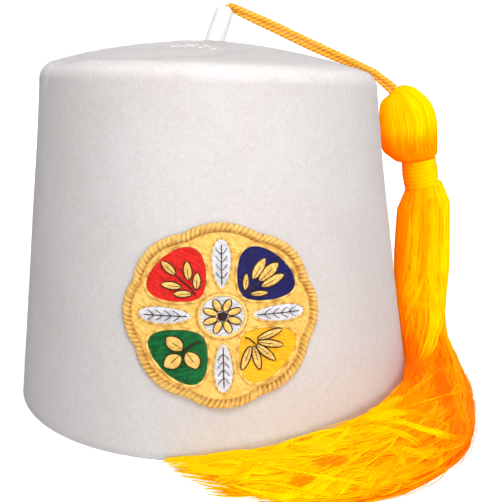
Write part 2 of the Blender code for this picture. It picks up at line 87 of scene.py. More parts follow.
# Cord
CORD_DIAMETER, CORD_SPACING = 0.0020, 0.0024
CORD_PLIES, CORD_TURN_LENGTH, CORD_STEP = 3, 0.0066, 0.00035
CORD_SWELL, CORD_GROOVE, CORD_SIDES = 1.24, 0.30, 30
# PLY_SHADE is how much darker the grooves between the plies are painted, as shade.
PLY_ROUNDNESS, PLY_SHADE = 0.7, 0.75
CORD_ROUTE = np.array([  # x, y, z, and the turn of the pair about its middle line in degrees
    (0.0033, 0.0000, 0.1509, 0),
    (0.0050, 0.0000, 0.1555, 0),
    (0.0067, 0.0000, 0.1599, 5),
    (0.0095, 0.0002, 0.1613, 20),
    (0.0137, 0.0005, 0.1592, 45),
    (0.0272, 0.0013, 0.1530, 75),
    (0.0414, 0.0022, 0.1461, 78),
    (0.0545, 0.0030, 0.1401, 60),
    (0.0632, 0.0035, 0.1364, 32),
    (0.0703, 0.0038, 0.1331, 26),
    (0.0738, 0.0040, 0.1303, 45),
    (0.0768, 0.0040, 0.1278, 65),
    (0.0796, 0.0040, 0.1253, 80),
])

# Tassel
HEAD_Y = 0.0040
HeadRing = namedtuple("HeadRing", "x height tilt radius")
HEAD_RINGS = [
    HeadRing(0.0799, 0.1248, 42, 0.0032),
    HeadRing(0.0817, 0.1241, 24, 0.0064),
    HeadRing(0.0829, 0.1215, 16, 0.0092),
    HeadRing(0.0848, 0.1171, 13, 0.0115),
    HeadRing(0.0863, 0.1116, 10, 0.0124),
    HeadRing(0.0868, 0.1060, 8, 0.0125),
    HeadRing(0.0873, 0.1005, 7, 0.0122),
    HeadRing(0.0888, 0.0979, 9, 0.0108),
    HeadRing(0.0902, 0.0957, 10, 0.0092),
]
NECK_TOP = HeadRing(0.0913, 0.0943, 10, 0.0066)
NECK_BOTTOM = HeadRing(0.0933, 0.0800, 16, 0.0064)
WRAP_START, WRAP_END, WRAP_TURNS, WRAP_THREAD_RADIUS = -0.02, 0.84, 19, 0.00042
HEAD_START = HeadRing(0.0790, 0.1246, 45, 0.0010)  # where the threads leave the cord
HEAD_THREADS, HEAD_THREAD_STEPS, HEAD_THREAD_RADIUS = 230, 36, 0.00025
# Degrees round the hat, height, distances of its two sides from the wall, and half depth
TASSEL_SECTIONS = np.array([
    (-2.2, 0.0826, 0.0095, 0.0258, 0.0080),
    (-2.2, 0.0768, 0.0062, 0.0282, 0.0104),
    (-2.2, 0.0580, 0.0030, 0.0267, 0.0115),
    (-2.0, 0.0440, 0.0010, 0.0251, 0.0122),
    (-1.0, 0.0320, 0.0004, 0.0222, 0.0122),
    (1.0, 0.0220, 0.0004, 0.0204, 0.0118),
    (5.5, 0.0120, 0.0004, 0.0202, 0.0116),
    (13.0, 0.0062, 0.0004, 0.0232, 0.0113),
    (22.0, 0.0036, 0.0004, 0.0281, 0.0110),
    (32.0, 0.0025, 0.0004, 0.0343, 0.0106),
    (42.0, 0.0020, 0.0004, 0.0406, 0.0100),
    (52.0, 0.0018, 0.0004, 0.0456, 0.0091),
    (61.0, 0.0016, 0.0004, 0.0482, 0.0081),
    (70.0, 0.0014, 0.0004, 0.0475, 0.0070),
    (79.0, 0.0012, 0.0004, 0.0430, 0.0058),
    (88.0, 0.0010, 0.0004, 0.0340, 0.0045),
    (98.0, 0.0008, 0.0004, 0.0180, 0.0017),
    (108.0, 0.0006, 0.0004, 0.0110, 0.0008),
])
SHOULDER_SLOPE, SHOULDER_END = 0.28, 2.0
LONGEST_END, CORE_END, STRAIGHT_END = 16.5, 14.4, 3.5
TIP_END, TIP_SLOPE, TIP_BEND = 15.86, -0.95, -0.95  # where a lock ends, by its place across
STRAND_RADIUS, STRAND_STEPS, STRAND_LIMIT = 0.00027, 46, 0.985
LOOSENS, DRIFTS = (1.5, 7.5), (3.0, 11.0)  # where along the sections a strand does so
CORE_SIZE, CORE_UNDER_HEAD = 0.88, 0.0005
SQUARENESS = 2.8  # power of the sections' outline, 2 for an ellipse
LEAST_HEIGHT = 0.0002  # of a strand's middle line over the floor
HAIR_SIDES, THREAD_SIDES, WRAP_SIDES = 3, 6, 8
NECK_PACKED, NECK_SHARES = 0.80, (0.50, 0.72)  # strands in the neck, as shares of its radius and height
# The strands' layers from inside to outside: reach and spread are shares of a section
Layer = namedtuple("Layer", "name locks strands reach spread wander")
STRAND_LAYERS = [
    Layer("inner", 14, 8, 0.76, 0.16, 0.12),
    Layer("outer_a", 34, 9, 0.91, 0.13, 0.18),
    Layer("outer_b", 36, 12, 0.94, 0.12, 0.24),
    Layer("top", 36, 11, 0.96, 0.11, 0.55),
]
# The locks over the others: strands, half width at the start and at the end, tone, and points, which are
# the place t along the sections and the turn round the section / pi
LOCKS_ON_TOP = [
    (34, 0.13, 0.05, 0.78, [(4.06, 0.37), (5.32, 0.40), (6.83, 0.56), (7.75, 0.67)]),
    (16, 0.05, 0.02, 0.54, [(3.95, 0.66), (4.71, 0.71), (5.25, 0.80)]),
    (14, 0.04, 0.03, 0.44, [(4.16, 0.53), (5.58, 0.58), (6.75, 0.68)]),
    (18, 0.02, 0.04, 0.44, [(5.34, 0.28), (6.90, 0.29), (8.19, 0.30), (9.09, 0.26)]),
    (21, 0.06, 0.01, 0.77, [(11.12, 0.56), (10.86, 0.51), (10.86, 0.39), (10.73, 0.28), (10.52, 0.17)]),
    (23, 0.04, 0.03, 0.62, [(11.74, 0.35), (11.52, 0.27), (11.21, 0.18)]),
    (18, 0.04, 0.03, 0.64, [(11.82, 0.40), (11.83, 0.32), (11.93, 0.25), (11.96, 0.16)]),
    (9, 0.01, 0.03, 0.52, [(11.06, 0.20), (11.23, 0.11), (11.40, 0.05)]),
    (9, 0.02, 0.07, 0.32, [(9.91, 0.63), (9.68, 0.57), (9.21, 0.50)]),
    (9, 0.02, 0.07, 0.36, [(10.20, 0.59), (9.97, 0.52), (9.55, 0.44)]),
    (12, 0.02, 0.08, 0.38, [(10.51, 0.55), (10.40, 0.46), (10.35, 0.34)]),
    (35, 0.07, 0.03, 0.72, [(10.71, 0.69), (10.23, 0.68), (9.58, 0.68)]),
    (35, 0.08, 0.05, 0.78, [(11.21, 0.67), (10.75, 0.62), (10.35, 0.55)]),
    (30, 0.07, 0.04, 0.74, [(11.76, 0.59), (11.28, 0.52), (11.27, 0.41), (11.28, 0.34)]),
    (25, 0.05, 0.09, 0.00, [(8.06, 0.47), (9.26, 0.42), (10.12, 0.30)]),
    (16, 0.03, 0.05, 0.30, [(9.10, 0.35), (9.63, 0.28), (10.05, 0.19)]),
    (23, 0.03, 0.07, 0.68, [(12.30, 0.28), (12.65, 0.20), (12.87, 0.07)]),
    (23, 0.03, 0.07, 0.62, [(11.90, 0.26), (12.31, 0.22), (12.68, 0.12)]),
    (25, 0.03, 0.07, 0.50, [(11.57, 0.20), (11.98, 0.16), (12.33, 0.12)]),
    (30, 0.04, 0.08, 0.28, [(12.52, 0.41), (12.90, 0.42), (13.37, 0.40)]),
    (35, 0.05, 0.08, 0.88, [(12.17, 0.57), (12.57, 0.61), (13.14, 0.59)]),
    (25, 0.03, 0.07, 0.68, [(12.77, 0.29), (13.06, 0.23), (13.30, 0.12)]),
    (25, 0.03, 0.07, 0.74, [(13.10, 0.30), (13.43, 0.24), (13.72, 0.15)]),
    (28, 0.03, 0.08, 0.80, [(13.06, 0.45), (13.42, 0.43), (13.81, 0.37)]),
    (23, 0.03, 0.06, 0.30, [(13.32, 0.34), (13.63, 0.30), (13.93, 0.24)]),
    (30, 0.04, 0.08, 0.84, [(13.31, 0.63), (13.86, 0.62), (14.39, 0.58)]),
    (28, 0.04, 0.07, 0.68, [(13.86, 0.52), (14.29, 0.48), (14.72, 0.40)]),
    (28, 0.04, 0.07, 0.76, [(14.38, 0.65), (14.95, 0.63), (15.35, 0.54)]),
    (21, 0.03, 0.05, 0.30, [(14.46, 0.32), (14.75, 0.28), (15.00, 0.23)]),
    (16, 0.02, 0.05, 0.28, [(14.90, 0.38), (15.12, 0.34), (15.24, 0.29)]),
    (25, 0.04, 0.03, 0.74, [(8.78, 0.77), (9.21, 0.80), (9.84, 0.79)]),
    (21, 0.03, 0.05, 0.32, [(12.43, 0.69), (12.87, 0.72), (13.35, 0.71)]),
    (21, 0.03, 0.05, 0.50, [(11.03, 0.69), (11.25, 0.77), (11.68, 0.78)]),
    (18, 0.02, 0.06, 0.18, [(12.99, 0.16), (13.16, 0.13), (13.35, 0.10)]),
    (23, 0.03, 0.07, 0.58, [(13.73, 0.26), (14.00, 0.23), (14.27, 0.16)]),
    (20, 0.05, 0.03, 0.74, [(0.80, 0.45), (1.65, 0.42), (2.51, 0.41), (3.98, 0.42)]),
    (18, 0.04, 0.03, 0.66, [(1.00, 0.62), (1.87, 0.63), (2.90, 0.65), (4.11, 0.69)]),
    (16, 0.03, 0.03, 0.30, [(1.76, 0.53), (2.50, 0.54), (3.44, 0.55), (4.46, 0.57)]),
    (16, 0.03, 0.03, 0.22, [(0.81, 0.78), (1.53, 0.76), (2.16, 0.77), (3.43, 0.80)]),
    (14, 0.03, 0.02, 0.56, [(1.23, 0.70), (1.75, 0.70), (2.40, 0.73), (3.22, 0.76)]),
    (18, 0.04, 0.03, 0.86, [(1.01, 0.31), (1.68, 0.29), (2.55, 0.31), (3.74, 0.32)]),
    (12, 0.02, 0.02, 0.46, [(1.06, 0.50), (1.75, 0.50), (2.50, 0.51), (3.62, 0.51)]),
    (16, 0.03, 0.03, 0.58, [(1.80, 0.56), (2.80, 0.60), (3.80, 0.70), (4.60, 0.82)]),
    (16, 0.02, 0.03, 0.66, [(2.20, 0.48), (3.20, 0.53), (4.10, 0.63), (4.90, 0.76)]),
    (12, 0.02, 0.02, 0.50, [(2.50, 0.64), (3.30, 0.71), (4.20, 0.81)]),
    (10, 0.02, 0.02, 0.44, [(1.30, 0.62), (2.30, 0.68), (3.20, 0.77), (4.00, 0.86)]),
    (20, 0.05, 0.08, 0.78, [(2.60, 0.46), (3.30, 0.42), (4.00, 0.37), (4.60, 0.37)]),
]
LOCK_STEPS, LOCK_RADIUS = 18, 0.00026
WISPS, WISP_STEPS, WISP_RADIUS = 84, 15, 0.00025
FLYAWAYS, FLYAWAY_STEPS, FLYAWAY_REACH, FLYAWAY_RADII = 400, 13, 0.96, (0.00014, 0.00007)
# The silk's tone by place t along the sections, as painted shade and light, orange where shaded and yellow
# where lit: in the middle, and its slope from the hat outwards
PAINTED_SHADE_T = (0, 3, 4.5, 6, 7.5, 9, 10.5, 12, 13.5, 15, 16)
PAINTED_SHADE_MIDDLE = (0.50, 0.52, 0.47, 0.26, 0.15, 0.20, 0.40, 0.55, 0.70, 0.88, 0.98)
PAINTED_SHADE_ACROSS = (0.30, 0.28, 0.16, 0.15, 0.15, -0.03, -0.26, -0.24, -0.16, -0.06, 0.0)
# Painted light: the silk is lighter towards the front and darker behind.
PAINTED_SHADE_DEEP = 0.08

# Patch
PATCH_CENTRE_X, PATCH_CENTRE_HEIGHT = 0.0071, 0.0506
PATCH_RADIUS, PATCH_WIDTH_SCALE, PATCH_HEIGHT_SCALE = 0.0330, 1.02, 0.91
SCALLOPS, SCALLOP_DEPTH = 8, 0.0017
BORDER_WIDTH, BORDER_THICKNESS = 0.0027, 0.0019
CENTRE_RADIUS = 0.0080
PETAL_START, PETAL_END, PETAL_HALF_WIDTH = 0.0097, 0.0298, 0.0115
LEAF_START, LEAF_END, LEAF_HALF_WIDTH = 0.0102, 0.0292, 0.0035
GROUND_LIFT, FIELD_LIFT = 0.0009, 0.0014
BORDER_LIFT, BORDER_STITCHES, BORDER_STITCH_RADIUS, EDGE_POINTS = 0.0003, 236, 0.00046, 320
THREAD_BOW, THREAD_ROUNDING = 0.00018, 0.0009
THREAD_PITCH, FINE_PITCH, PETAL_PITCH, GROUND_PITCH = 0.00042, 0.00036, 0.00040, 0.00046
PETAL_STITCH, GROUND_STITCH, DISC_STITCH = 0.0025, 0.0019, 0.0026
# Radii of the gold threads round the fields, and of the dark ones
INNER_RING, PETAL_EDGE, LEAF_EDGE, DISC_EDGE, DISC_RING = 0.00036, 0.00052, 0.00042, 0.00055, 0.00042
STALK, BLADE_EDGE, DAISY_EDGE, LEAF_MIDRIB, VEIN = 0.00030, 0.00025, 0.00021, 0.00020, 0.00014
PETALS = [("navy", 45, 24), ("red", 135, -30), ("green", 225, 18), ("gold", 315, -14)]  # place, threads' turn
LEAVES = {"right": 0, "top": 90, "left": 180, "bottom": 270}
LEAF_VEIN, LEAF_RIBS = (0.0118, 0.0185, 0.0268), (0.0142, 0.0172, 0.0202, 0.0232)
DAISY_PETALS, DAISY_RADIUS, DAISY_HALF_SIZES, EYE_RADIUS = 8, 0.0044, (0.0024, 0.0013), 0.0017
FAN_FOOT, FAN_REACH = 0.0140, 0.0066
Blade = namedtuple("Blade", "reach side lean half_long half_wide")


def pair(reach, side, lean, half_long, half_wide):
    """A blade and its mirror image."""
    return [Blade(reach, hand * side, hand * lean, half_long, half_wide) for hand in (1, -1)]


def fan_blade(lean):
    """One of the blades that spread from a foot."""
    turn = radians(lean)
    return Blade(FAN_FOOT + FAN_REACH * cos(turn), FAN_REACH * sin(turn), lean, 0.0046, 0.0014)


MOTIFS = {  # blades and the points of the stalk, reach outwards and side to the left from the patch's centre
    "red": ([*pair(0.0152, 0.0034, 48, 0.0031, 0.0014), *pair(0.0200, 0.0040, 40, 0.0034, 0.0015),
             Blade(0.0252, 0.0, 0, 0.0033, 0.0016)],
            [(0.0118, 0.0006), (0.0150, -0.0002), (0.0185, 0.0), (0.0222, 0.0)]),
    "navy": ([*pair(0.0212, 0.0034, 17, 0.0044, 0.0018), Blade(0.0226, 0.0, 0, 0.0046, 0.0022),
              *pair(0.0146, 0.0032, 42, 0.0031, 0.0011)],
             [(0.0116, 0.0), (0.0140, 0.0002), (0.0160, 0.0), (0.0182, 0.0)]),
    "green": ([Blade(0.0242, 0.0, 0, 0.0035, 0.0028), *pair(0.0190, 0.0042, 78, 0.0034, 0.0027)],
              [(0.0116, 0.0016), (0.0140, 0.0004), (0.0170, 0.0), (0.0200, 0.0)]),
    "gold": ([fan_blade(lean) for lean in (-64, 64, -32, 32, 0)],
             [(0.0112, -0.0006), (0.0126, 0.0), (0.0142, 0.0), (0.0154, 0.0)]),
}

# Colours, linear red, green and blue
FELT_GRAIN = [(0.36, (0.517, 0.497, 0.491)), (0.50, (0.575, 0.556, 0.553)), (0.64, (0.628, 0.612, 0.611))]
# The third colour lightens the felt on its rounded top edge, as a painted highlight.
FELT_WARMTH, FELT_FLECK, FELT_EDGE_HIGHLIGHT = (0.96, 0.905, 0.895, 1), (0.54, 0.48, 0.46, 1), (1.21, 1.21, 1.21, 1)
FUZZ_TONES = [(0.0, (0.46, 0.43, 0.42)), (0.25, (0.60, 0.585, 0.58)), (1.0, (0.70, 0.69, 0.685))]
STEM_DARK, STEM_LIGHT = (0.76, 0.76, 0.75), (0.84, 0.84, 0.835)
SILK_SHEEN = (1.0, 0.75, 0.10, 1)
# The tone that picks among these carries painted shade as well as each strand's own tone, so the dark end
# stands for shade.
SILK = {  # the dark, middle and light tone
    "gold_cord": [(0.34, 0.065, 0.001), (0.72, 0.26, 0.010), (0.92, 0.50, 0.08)],
    "yellow_silk": [(1.0, 0.17, 0.0), (1.0, 0.37, 0.0), (1.0, 0.66, 0.0)],
    "silk_core": [(1.0, 0.18, 0.0), (1.0, 0.36, 0.0), (1.0, 0.60, 0.0)],
}
THREAD = {  # the dark and the light tone
    "white_stitches": [(0.75, 0.74, 0.73), (0.92, 0.92, 0.92)],
    "cream_twill": [(0.66, 0.36, 0.05), (0.90, 0.64, 0.20)],
    "gold_thread": [(0.36, 0.14, 0.01), (0.90, 0.60, 0.17)],
    "petal_gold_thread": [(0.78, 0.36, 0.005), (0.98, 0.55, 0.02)],
    "navy_thread": [(0.003, 0.003, 0.045), (0.010, 0.010, 0.14)],
    "red_thread": [(0.45, 0.004, 0.003), (0.85, 0.020, 0.012)],
    "green_thread": [(0.001, 0.05, 0.012), (0.004, 0.18, 0.040)],
    "white_thread": [(0.42, 0.43, 0.47), (0.80, 0.80, 0.83)],
    "brown_thread": [(0.018, 0.006, 0.003), (0.050, 0.018, 0.009)],
}
THREAD_NAMES = ("gold", "petal_gold", "navy", "red", "green", "white", "brown")

# Setting
FLOOR_GLOW_SEEN, FLOOR_GLOW_ON_HAT = 0.76, 0.23  # seen by the camera, and as it lights the hat
FLOOR_FRONT, FLOOR_BACK, FLOOR_BEND, WALL_TOP, FLOOR_HALF_WIDTH = -3.0, 1.0, 0.8, 4.0, 4.0
SKY_STRENGTH = 0.35
LAMP_TARGET, WARM_WHITE, WHITE = (0, 0, 0.07), (1.0, 0.99, 0.985), (1, 1, 1)
LAMPS = [  # name, place, diameter, watts and colour
    ("low", (0.40, -1.686, 0.244), 0.7, 13.7, WARM_WHITE),
    ("key", (0.05, -0.50, 0.50), 0.25, 1.70, WARM_WHITE),
    ("side", (0.40, -0.55, 0.10), 0.25, 0.40, WARM_WHITE),
    ("left", (-0.25, -0.30, 0.40), 0.15, 0.20, WHITE),
    ("high", (0.581, -0.581, 1.545), 0.7, 6.0, WHITE),
    ("top", (0.0, -0.056, 1.6), 1.0, 1.1, WHITE),
    ("back", (0.0, 1.3, 0.32), 0.4, 10.5, WHITE),
]


# ---- arrays and meshes ----


def unit(vectors):
    """The vectors at length 1."""
    return vectors / np.maximum(np.linalg.norm(vectors, axis=-1, keepdims=True), 1e-12)


def smooth_step(low, high, values):
    """0 at low, 1 at high and smooth between. low may be the larger."""
    share = np.clip((values - low) / (high - low), 0, 1)
    return share * share * (3 - 2 * share)


def circle(count):
    """Angles at even steps round a full turn."""
    return 2 * pi * np.arange(count) / count


def off_floor(points, least=LEAST_HEIGHT):
    """The points, with none of them lower than least."""
    points[..., 2] = np.maximum(points[..., 2], least)
    return points


def uniform_each(count, low, high):
    """A random number for each strand, in a column."""
    return rng.uniform(low, high, (count, 1))


def normal_each(count, spread):
    """The same, normal about 0."""
    return rng.normal(0, spread, (count, 1))


def ripple(t, *waves):
    """A sum of sine waves, each given by its height, its rate and where it starts."""
    return sum(height * np.sin(rate * t + start) for height, rate, start in waves)


def along(values, t):
    """Catmull-Rom values at t, where whole numbers fall on the given rows."""
    values, t = np.asarray(values, float), np.asarray(t, float)
    i = np.minimum(t.astype(int), len(values) - 2)
    s = (t - i).reshape(t.shape + (1,) * (values.ndim - 1))
    p0, p1 = values[np.maximum(i - 1, 0)], values[i]
    p2, p3 = values[i + 1], values[np.minimum(i + 2, len(values) - 1)]
    square, cube = 2 * p0 - 5 * p1 + 4 * p2 - p3, 3 * p1 - p0 - 3 * p2 + p3
    return 0.5 * (2 * p1 + (p2 - p0) * s + square * s**2 + cube * s**3)


def place_in_scene(name, data):
    """A new object of the scene."""
    made = bpy.data.objects.new(name, data)
    bpy.context.collection.objects.link(made)
    return made


class Shape:
    """Vertices, faces and a tone for each vertex, gathered into one mesh."""

    def __init__(self):
        self.points, self.faces, self.tones, self.count = [], [], [], 0

    def add(self, points, faces, tone=0.5):
        points = points.reshape(-1, 3)
        self.points.append(points)
        self.faces += [face + self.count for face in faces]
        self.tones.append(np.broadcast_to(np.asarray(tone, float).reshape(-1), (len(points),)))
        self.count += len(points)

    def grid(self, points, tone=0.5, closed=False):
        """Quads over an array of shape (rows, columns, 3). closed joins the last column to the first."""
        rows, columns = points.shape[:2]
        index = np.arange(rows * columns).reshape(rows, columns)
        after = np.roll(index, -1, axis=1)
        if not closed:
            index, after = index[:, :-1], after[:, :-1]
        quads = np.stack([index[:-1], after[:-1], after[1:], index[1:]], -1).reshape(-1, 4)
        self.add(points, [quads], tone)

    def tubes(self, paths, radii, sides, tone=0.5, lobes=0, lobe_depth=0.0, twist=None):
        """Tubes along paths, an array of shape (tubes, points, 3). lobes and twist make a twisted rope."""
        off_axis = (0.31, 0.92, 0.23)  # no tube starts out this way
        count, length = paths.shape[:2]
        ahead = unit(np.gradient(paths, axis=1))
        normal = np.empty_like(paths)
        normal[:, 0] = unit(np.cross(ahead[:, 0], off_axis))
        for j in range(1, length):
            before = normal[:, j - 1]
            normal[:, j] = unit(before - ahead[:, j] * (before * ahead[:, j]).sum(-1, keepdims=True))
        other = np.cross(ahead, normal)
        turns = circle(sides)
        radii = np.broadcast_to(radii, (count, length))[:, :, None]
        if lobes:
            lobe = np.abs(np.cos(lobes * (turns + twist[:, None]) / 2)) ** PLY_ROUNDNESS
            radii = radii * (1 - lobe_depth + lobe_depth * lobe)
        ring = normal[:, :, None] * np.cos(turns)[:, None] + other[:, :, None] * np.sin(turns)[:, None]
        points = paths[:, :, None] + ring * (radii * np.ones(sides))[..., None]
        index = np.arange(count * length * sides).reshape(count, length, sides)
        after = np.roll(index, -1, axis=2)
        quads = np.stack([index[:, :-1], after[:, :-1], after[:, 1:], index[:, 1:]], -1).reshape(-1, 4)
        caps = [index[:, 0, ::-1], index[:, -1]]
        tone = np.asarray(tone, float)
        if tone.ndim < 2:
            tone = tone.reshape(-1, 1)
        tone = np.broadcast_to(tone, (count, length))[..., None] * np.ones(sides)
        # Painted shade: the tone is darker in the grooves between the plies.
        if lobes:
            tone = tone * (1 - PLY_SHADE + PLY_SHADE * lobe)
        self.add(points, [quads, *caps], tone)

    def piece(self, name, finish, slot, replaces=()):
        """The mesh as an object of the scene, on the model's one body."""
        points, faces = np.concatenate(self.points), self.faces
        data = bpy.data.meshes.new(name)
        corners = np.concatenate([face.ravel() for face in faces])
        sizes = np.concatenate([np.full(len(face), face.shape[1]) for face in faces])
        data.vertices.add(len(points))
        data.vertices.foreach_set("co", points.astype(np.float32).ravel())
        data.loops.add(len(corners))
        data.loops.foreach_set("vertex_index", corners.astype(np.int32))
        data.polygons.add(len(sizes))
        data.polygons.foreach_set("loop_start", (np.cumsum(sizes) - sizes).astype(np.int32))
        data.update(calc_edges=True)
        data.validate()
        data.shade_smooth()
        tone = data.attributes.new("tone", "FLOAT", "POINT")
        tone.data.foreach_set("value", np.concatenate(self.tones).astype(np.float32))
        data.materials.append(finish)
        made = place_in_scene(name, data)
        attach(made, "root")
        if replaces:
            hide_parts(*replaces)
        return made


# ---- materials ----


class Finish:
    """A Principled material and the nodes that feed it."""

    def __init__(self, name, roughness, **constants):
        self.material = bpy.data.materials.new(name)
        self.material.use_nodes = True
        self.tree = self.material.node_tree
        self.shader = self.tree.nodes["Principled BSDF"]
        self.shader.inputs["Roughness"].default_value = roughness
        for socket, value in constants.items():
            self.shader.inputs[socket.replace("_", " ")].default_value = value
        self.place = self.node("TexCoord").outputs["Object"]

    def node(self, kind, settings=None, **inputs):
        made = self.tree.nodes.new("ShaderNode" + kind)
        for key, value in (settings or {}).items():
            setattr(made, key, value)
        for key, value in inputs.items():
            self.feed(made.inputs[key.replace("_", " ")], value)
        return made

    def feed(self, socket, value):
        if isinstance(value, bpy.types.NodeSocket):
            self.tree.links.new(value, socket)
        else:
            socket.default_value = value

    def noise(self, scale, detail=2.0, roughness=0.5, distortion=0.0):
        return self.node(
            "TexNoise", Vector=self.place, Scale=scale,
            Detail=detail, Roughness=roughness, Distortion=distortion,
        ).outputs["Fac"]

    def tone(self):
        return self.node("Attribute", {"attribute_name": "tone"}).outputs["Fac"]

    def math(self, operation, a, b):
        made = self.node("Math", {"operation": operation})
        self.feed(made.inputs[0], a)
        self.feed(made.inputs[1], b)
        return made.outputs[0]

    def ramp(self, factor, *stops):
        """Colours by position: each stop is (position, (red, green, blue))."""
        made = self.node("ValToRGB", Fac=factor)
        elements = made.color_ramp.elements
        while len(elements) < len(stops):
            elements.new(0.5)
        for element, (position, colour) in zip(elements, stops):
            element.position = position
            element.color = (*colour, 1)
        return made.outputs["Color"]

    def mix(self, factor, a, b, blend="MIX"):
        made = self.node("Mix", {"data_type": "RGBA", "blend_type": blend})
        self.feed(made.inputs[0], factor)
        self.feed(made.inputs[6], a)
        self.feed(made.inputs[7], b)
        return made.outputs[2]

    def colour(self, value):
        self.feed(self.shader.inputs["Base Color"], value)

    def rough(self, factor, low, high):
        made = self.node("MapRange", Value=factor, To_Min=low, To_Max=high)
        self.feed(self.shader.inputs["Roughness"], made.outputs["Result"])

    def bump(self, height, distance, strength=1.0):
        made = self.node("Bump", Height=height, Distance=distance, Strength=strength)
        self.feed(self.shader.inputs["Normal"], made.outputs["Normal"])


def grey(value):
    """A neutral colour."""
    return (value, value, value)


def felt_finish():
    """Matted fibres with warmer clouds and small flecks. Its tone is 1 on the rounded top edge, which a
    painted highlight makes lighter.
    """
    felt = Finish("white_felt", 0.95, Sheen_Weight=0.12, Sheen_Roughness=0.55, Specular_IOR_Level=0.10)
    clouds = felt.noise(30, detail=3)
    clumps = felt.noise(560, detail=4, roughness=0.65, distortion=1.6)
    fibres = felt.noise(1700, detail=3, roughness=0.7, distortion=3.0)
    specks = felt.noise(800, roughness=0.8)
    grain = felt.math("ADD", felt.math("MULTIPLY", clumps, 0.55), felt.math("MULTIPLY", fibres, 0.45))
    cloudy = felt.ramp(clouds, (0.40, grey(0)), (0.68, grey(0.55)))
    warm = felt.mix(cloudy, felt.ramp(grain, *FELT_GRAIN), FELT_WARMTH, "MULTIPLY")
    flecks = felt.ramp(specks, (0.66, grey(0)), (0.76, grey(1)))
    flecked = felt.mix(felt.math("MULTIPLY", flecks, 0.22), warm, FELT_FLECK)
    # Painted highlight: where the tone is 1, on the rounded top edge, the felt is made lighter.
    edge = felt.mix(1.0, flecked, FELT_EDGE_HIGHLIGHT, "MULTIPLY")
    felt.colour(felt.mix(felt.tone(), flecked, edge))
    felt.bump(grain, 0.0007, 0.5)
    return felt.material


def fuzz_finish():
    """Single wool fibres, each of its own tone."""
    fuzz = Finish("felt_fuzz", 0.85, Sheen_Weight=0.3)
    fuzz.colour(fuzz.ramp(fuzz.tone(), *FUZZ_TONES))
    return fuzz.material


def silk_finish(name, roughness=0.5, glow=0.22):
    """Silk: its tone runs from orange to yellow, and it glows a little in its own colour, painted light that
    lifts its shade.
    """
    dark, middle, light = SILK[name]
    constants = {"Specular_IOR_Level": 0.02, "Specular_Tint": SILK_SHEEN, "Emission_Strength": glow}
    silk = Finish(name, roughness, **constants)
    drift = silk.math("MULTIPLY", silk.math("SUBTRACT", silk.noise(90), 0.5), 0.30)
    blend = silk.math("ADD", silk.tone(), drift)
    tint = silk.ramp(blend, (0.05, dark), (0.50, middle), (0.95, light))
    silk.colour(tint)
    # Painted light: the silk glows a little in its own colour, which lifts its shade.
    silk.feed(silk.shader.inputs["Emission Color"], tint)
    silk.rough(silk.noise(400), roughness - 0.08, roughness + 0.12)
    silk.bump(silk.noise(2600), 0.00010, 0.4)
    return silk.material


def thread_finish(name, roughness=0.42):
    """Embroidery thread, lighter where its tone is higher, with a fine uneven twist."""
    dark, light = THREAD[name]
    thread = Finish(name, roughness, Sheen_Weight=0.05, Sheen_Roughness=0.4, Specular_IOR_Level=0.2)
    uneven = thread.math("MULTIPLY", thread.noise(500, detail=3), 0.5)
    shade = thread.math("ADD", thread.math("MULTIPLY", thread.tone(), 0.6), uneven)
    thread.colour(thread.ramp(shade, (0.25, dark), (0.80, light)))
    thread.rough(thread.noise(900), roughness - 0.08, roughness + 0.16)
    thread.bump(thread.noise(3800), 0.00008, 0.5)
    return thread.material


def stem_finish():
    """Smooth white tube, slightly clouded."""
    stem = Finish("white_stem", 0.45)
    grain = stem.noise(260, detail=3)
    stem.colour(stem.ramp(grain, (0.3, STEM_DARK), (0.7, STEM_LIGHT)))
    stem.rough(stem.noise(600), 0.38, 0.60)
    stem.bump(stem.noise(1400, detail=3), 0.00012, 0.4)
    return stem.material


# ---- crown ----


def leaned(x, y, height):
    """Points of the crown once its top leans, more the higher they are, and its wall sways."""
    sway = WALL_SWAY * np.sin(pi * np.minimum(height / EDGE_HEIGHT, 1))
    lift = height * (1 + (LEAN_X * x + LEAN_Y * y) / EDGE_HEIGHT)
    return np.stack(np.broadcast_arrays(x - sway, y, lift), -1)


def wall_half_sizes(height):
    """Half width and half length of the crown at a height on its wall."""
    share = height / EDGE_HEIGHT
    hollow = WALL_HOLLOW * np.sin(pi * np.minimum(share, 1))
    half_width = RIM_HALF_WIDTH + (EDGE_HALF_WIDTH - RIM_HALF_WIDTH) * share - hollow
    half_length = RIM_HALF_LENGTH + (EDGE_HALF_LENGTH - RIM_HALF_LENGTH) * share - hollow
    return half_width, half_length


def crown_outline():
    """(half width, half length, height) of each ring, from the rim to near the top of the dome."""
    rows = []
    wall_top = EDGE_HEIGHT - EDGE_RADIUS
    for i in range(WALL_RINGS + 1):
        height = wall_top * i / WALL_RINGS
        rows.append((*wall_half_sizes(height), height))
    width_in, length_in = rows[-1][0] - EDGE_RADIUS, rows[-1][1] - EDGE_RADIUS
    dome_slope = atan2(2 * DOME_RISE, width_in)
    for i in range(1, EDGE_RINGS + 1):
        turn = (pi / 2 - dome_slope) * i / EDGE_RINGS
        out = EDGE_RADIUS * cos(turn)
        rows.append((width_in + out, length_in + out, wall_top + EDGE_RADIUS * sin(turn)))
    last_width, last_length, last_height = rows[-1]
    for i in range(1, DOME_RINGS):
        share = 1 - i / DOME_RINGS
        height = last_height + (EDGE_HEIGHT + DOME_RISE - last_height) * (1 - share**2)
        rows.append((last_width * share, last_length * share, height))
    return np.array(rows)


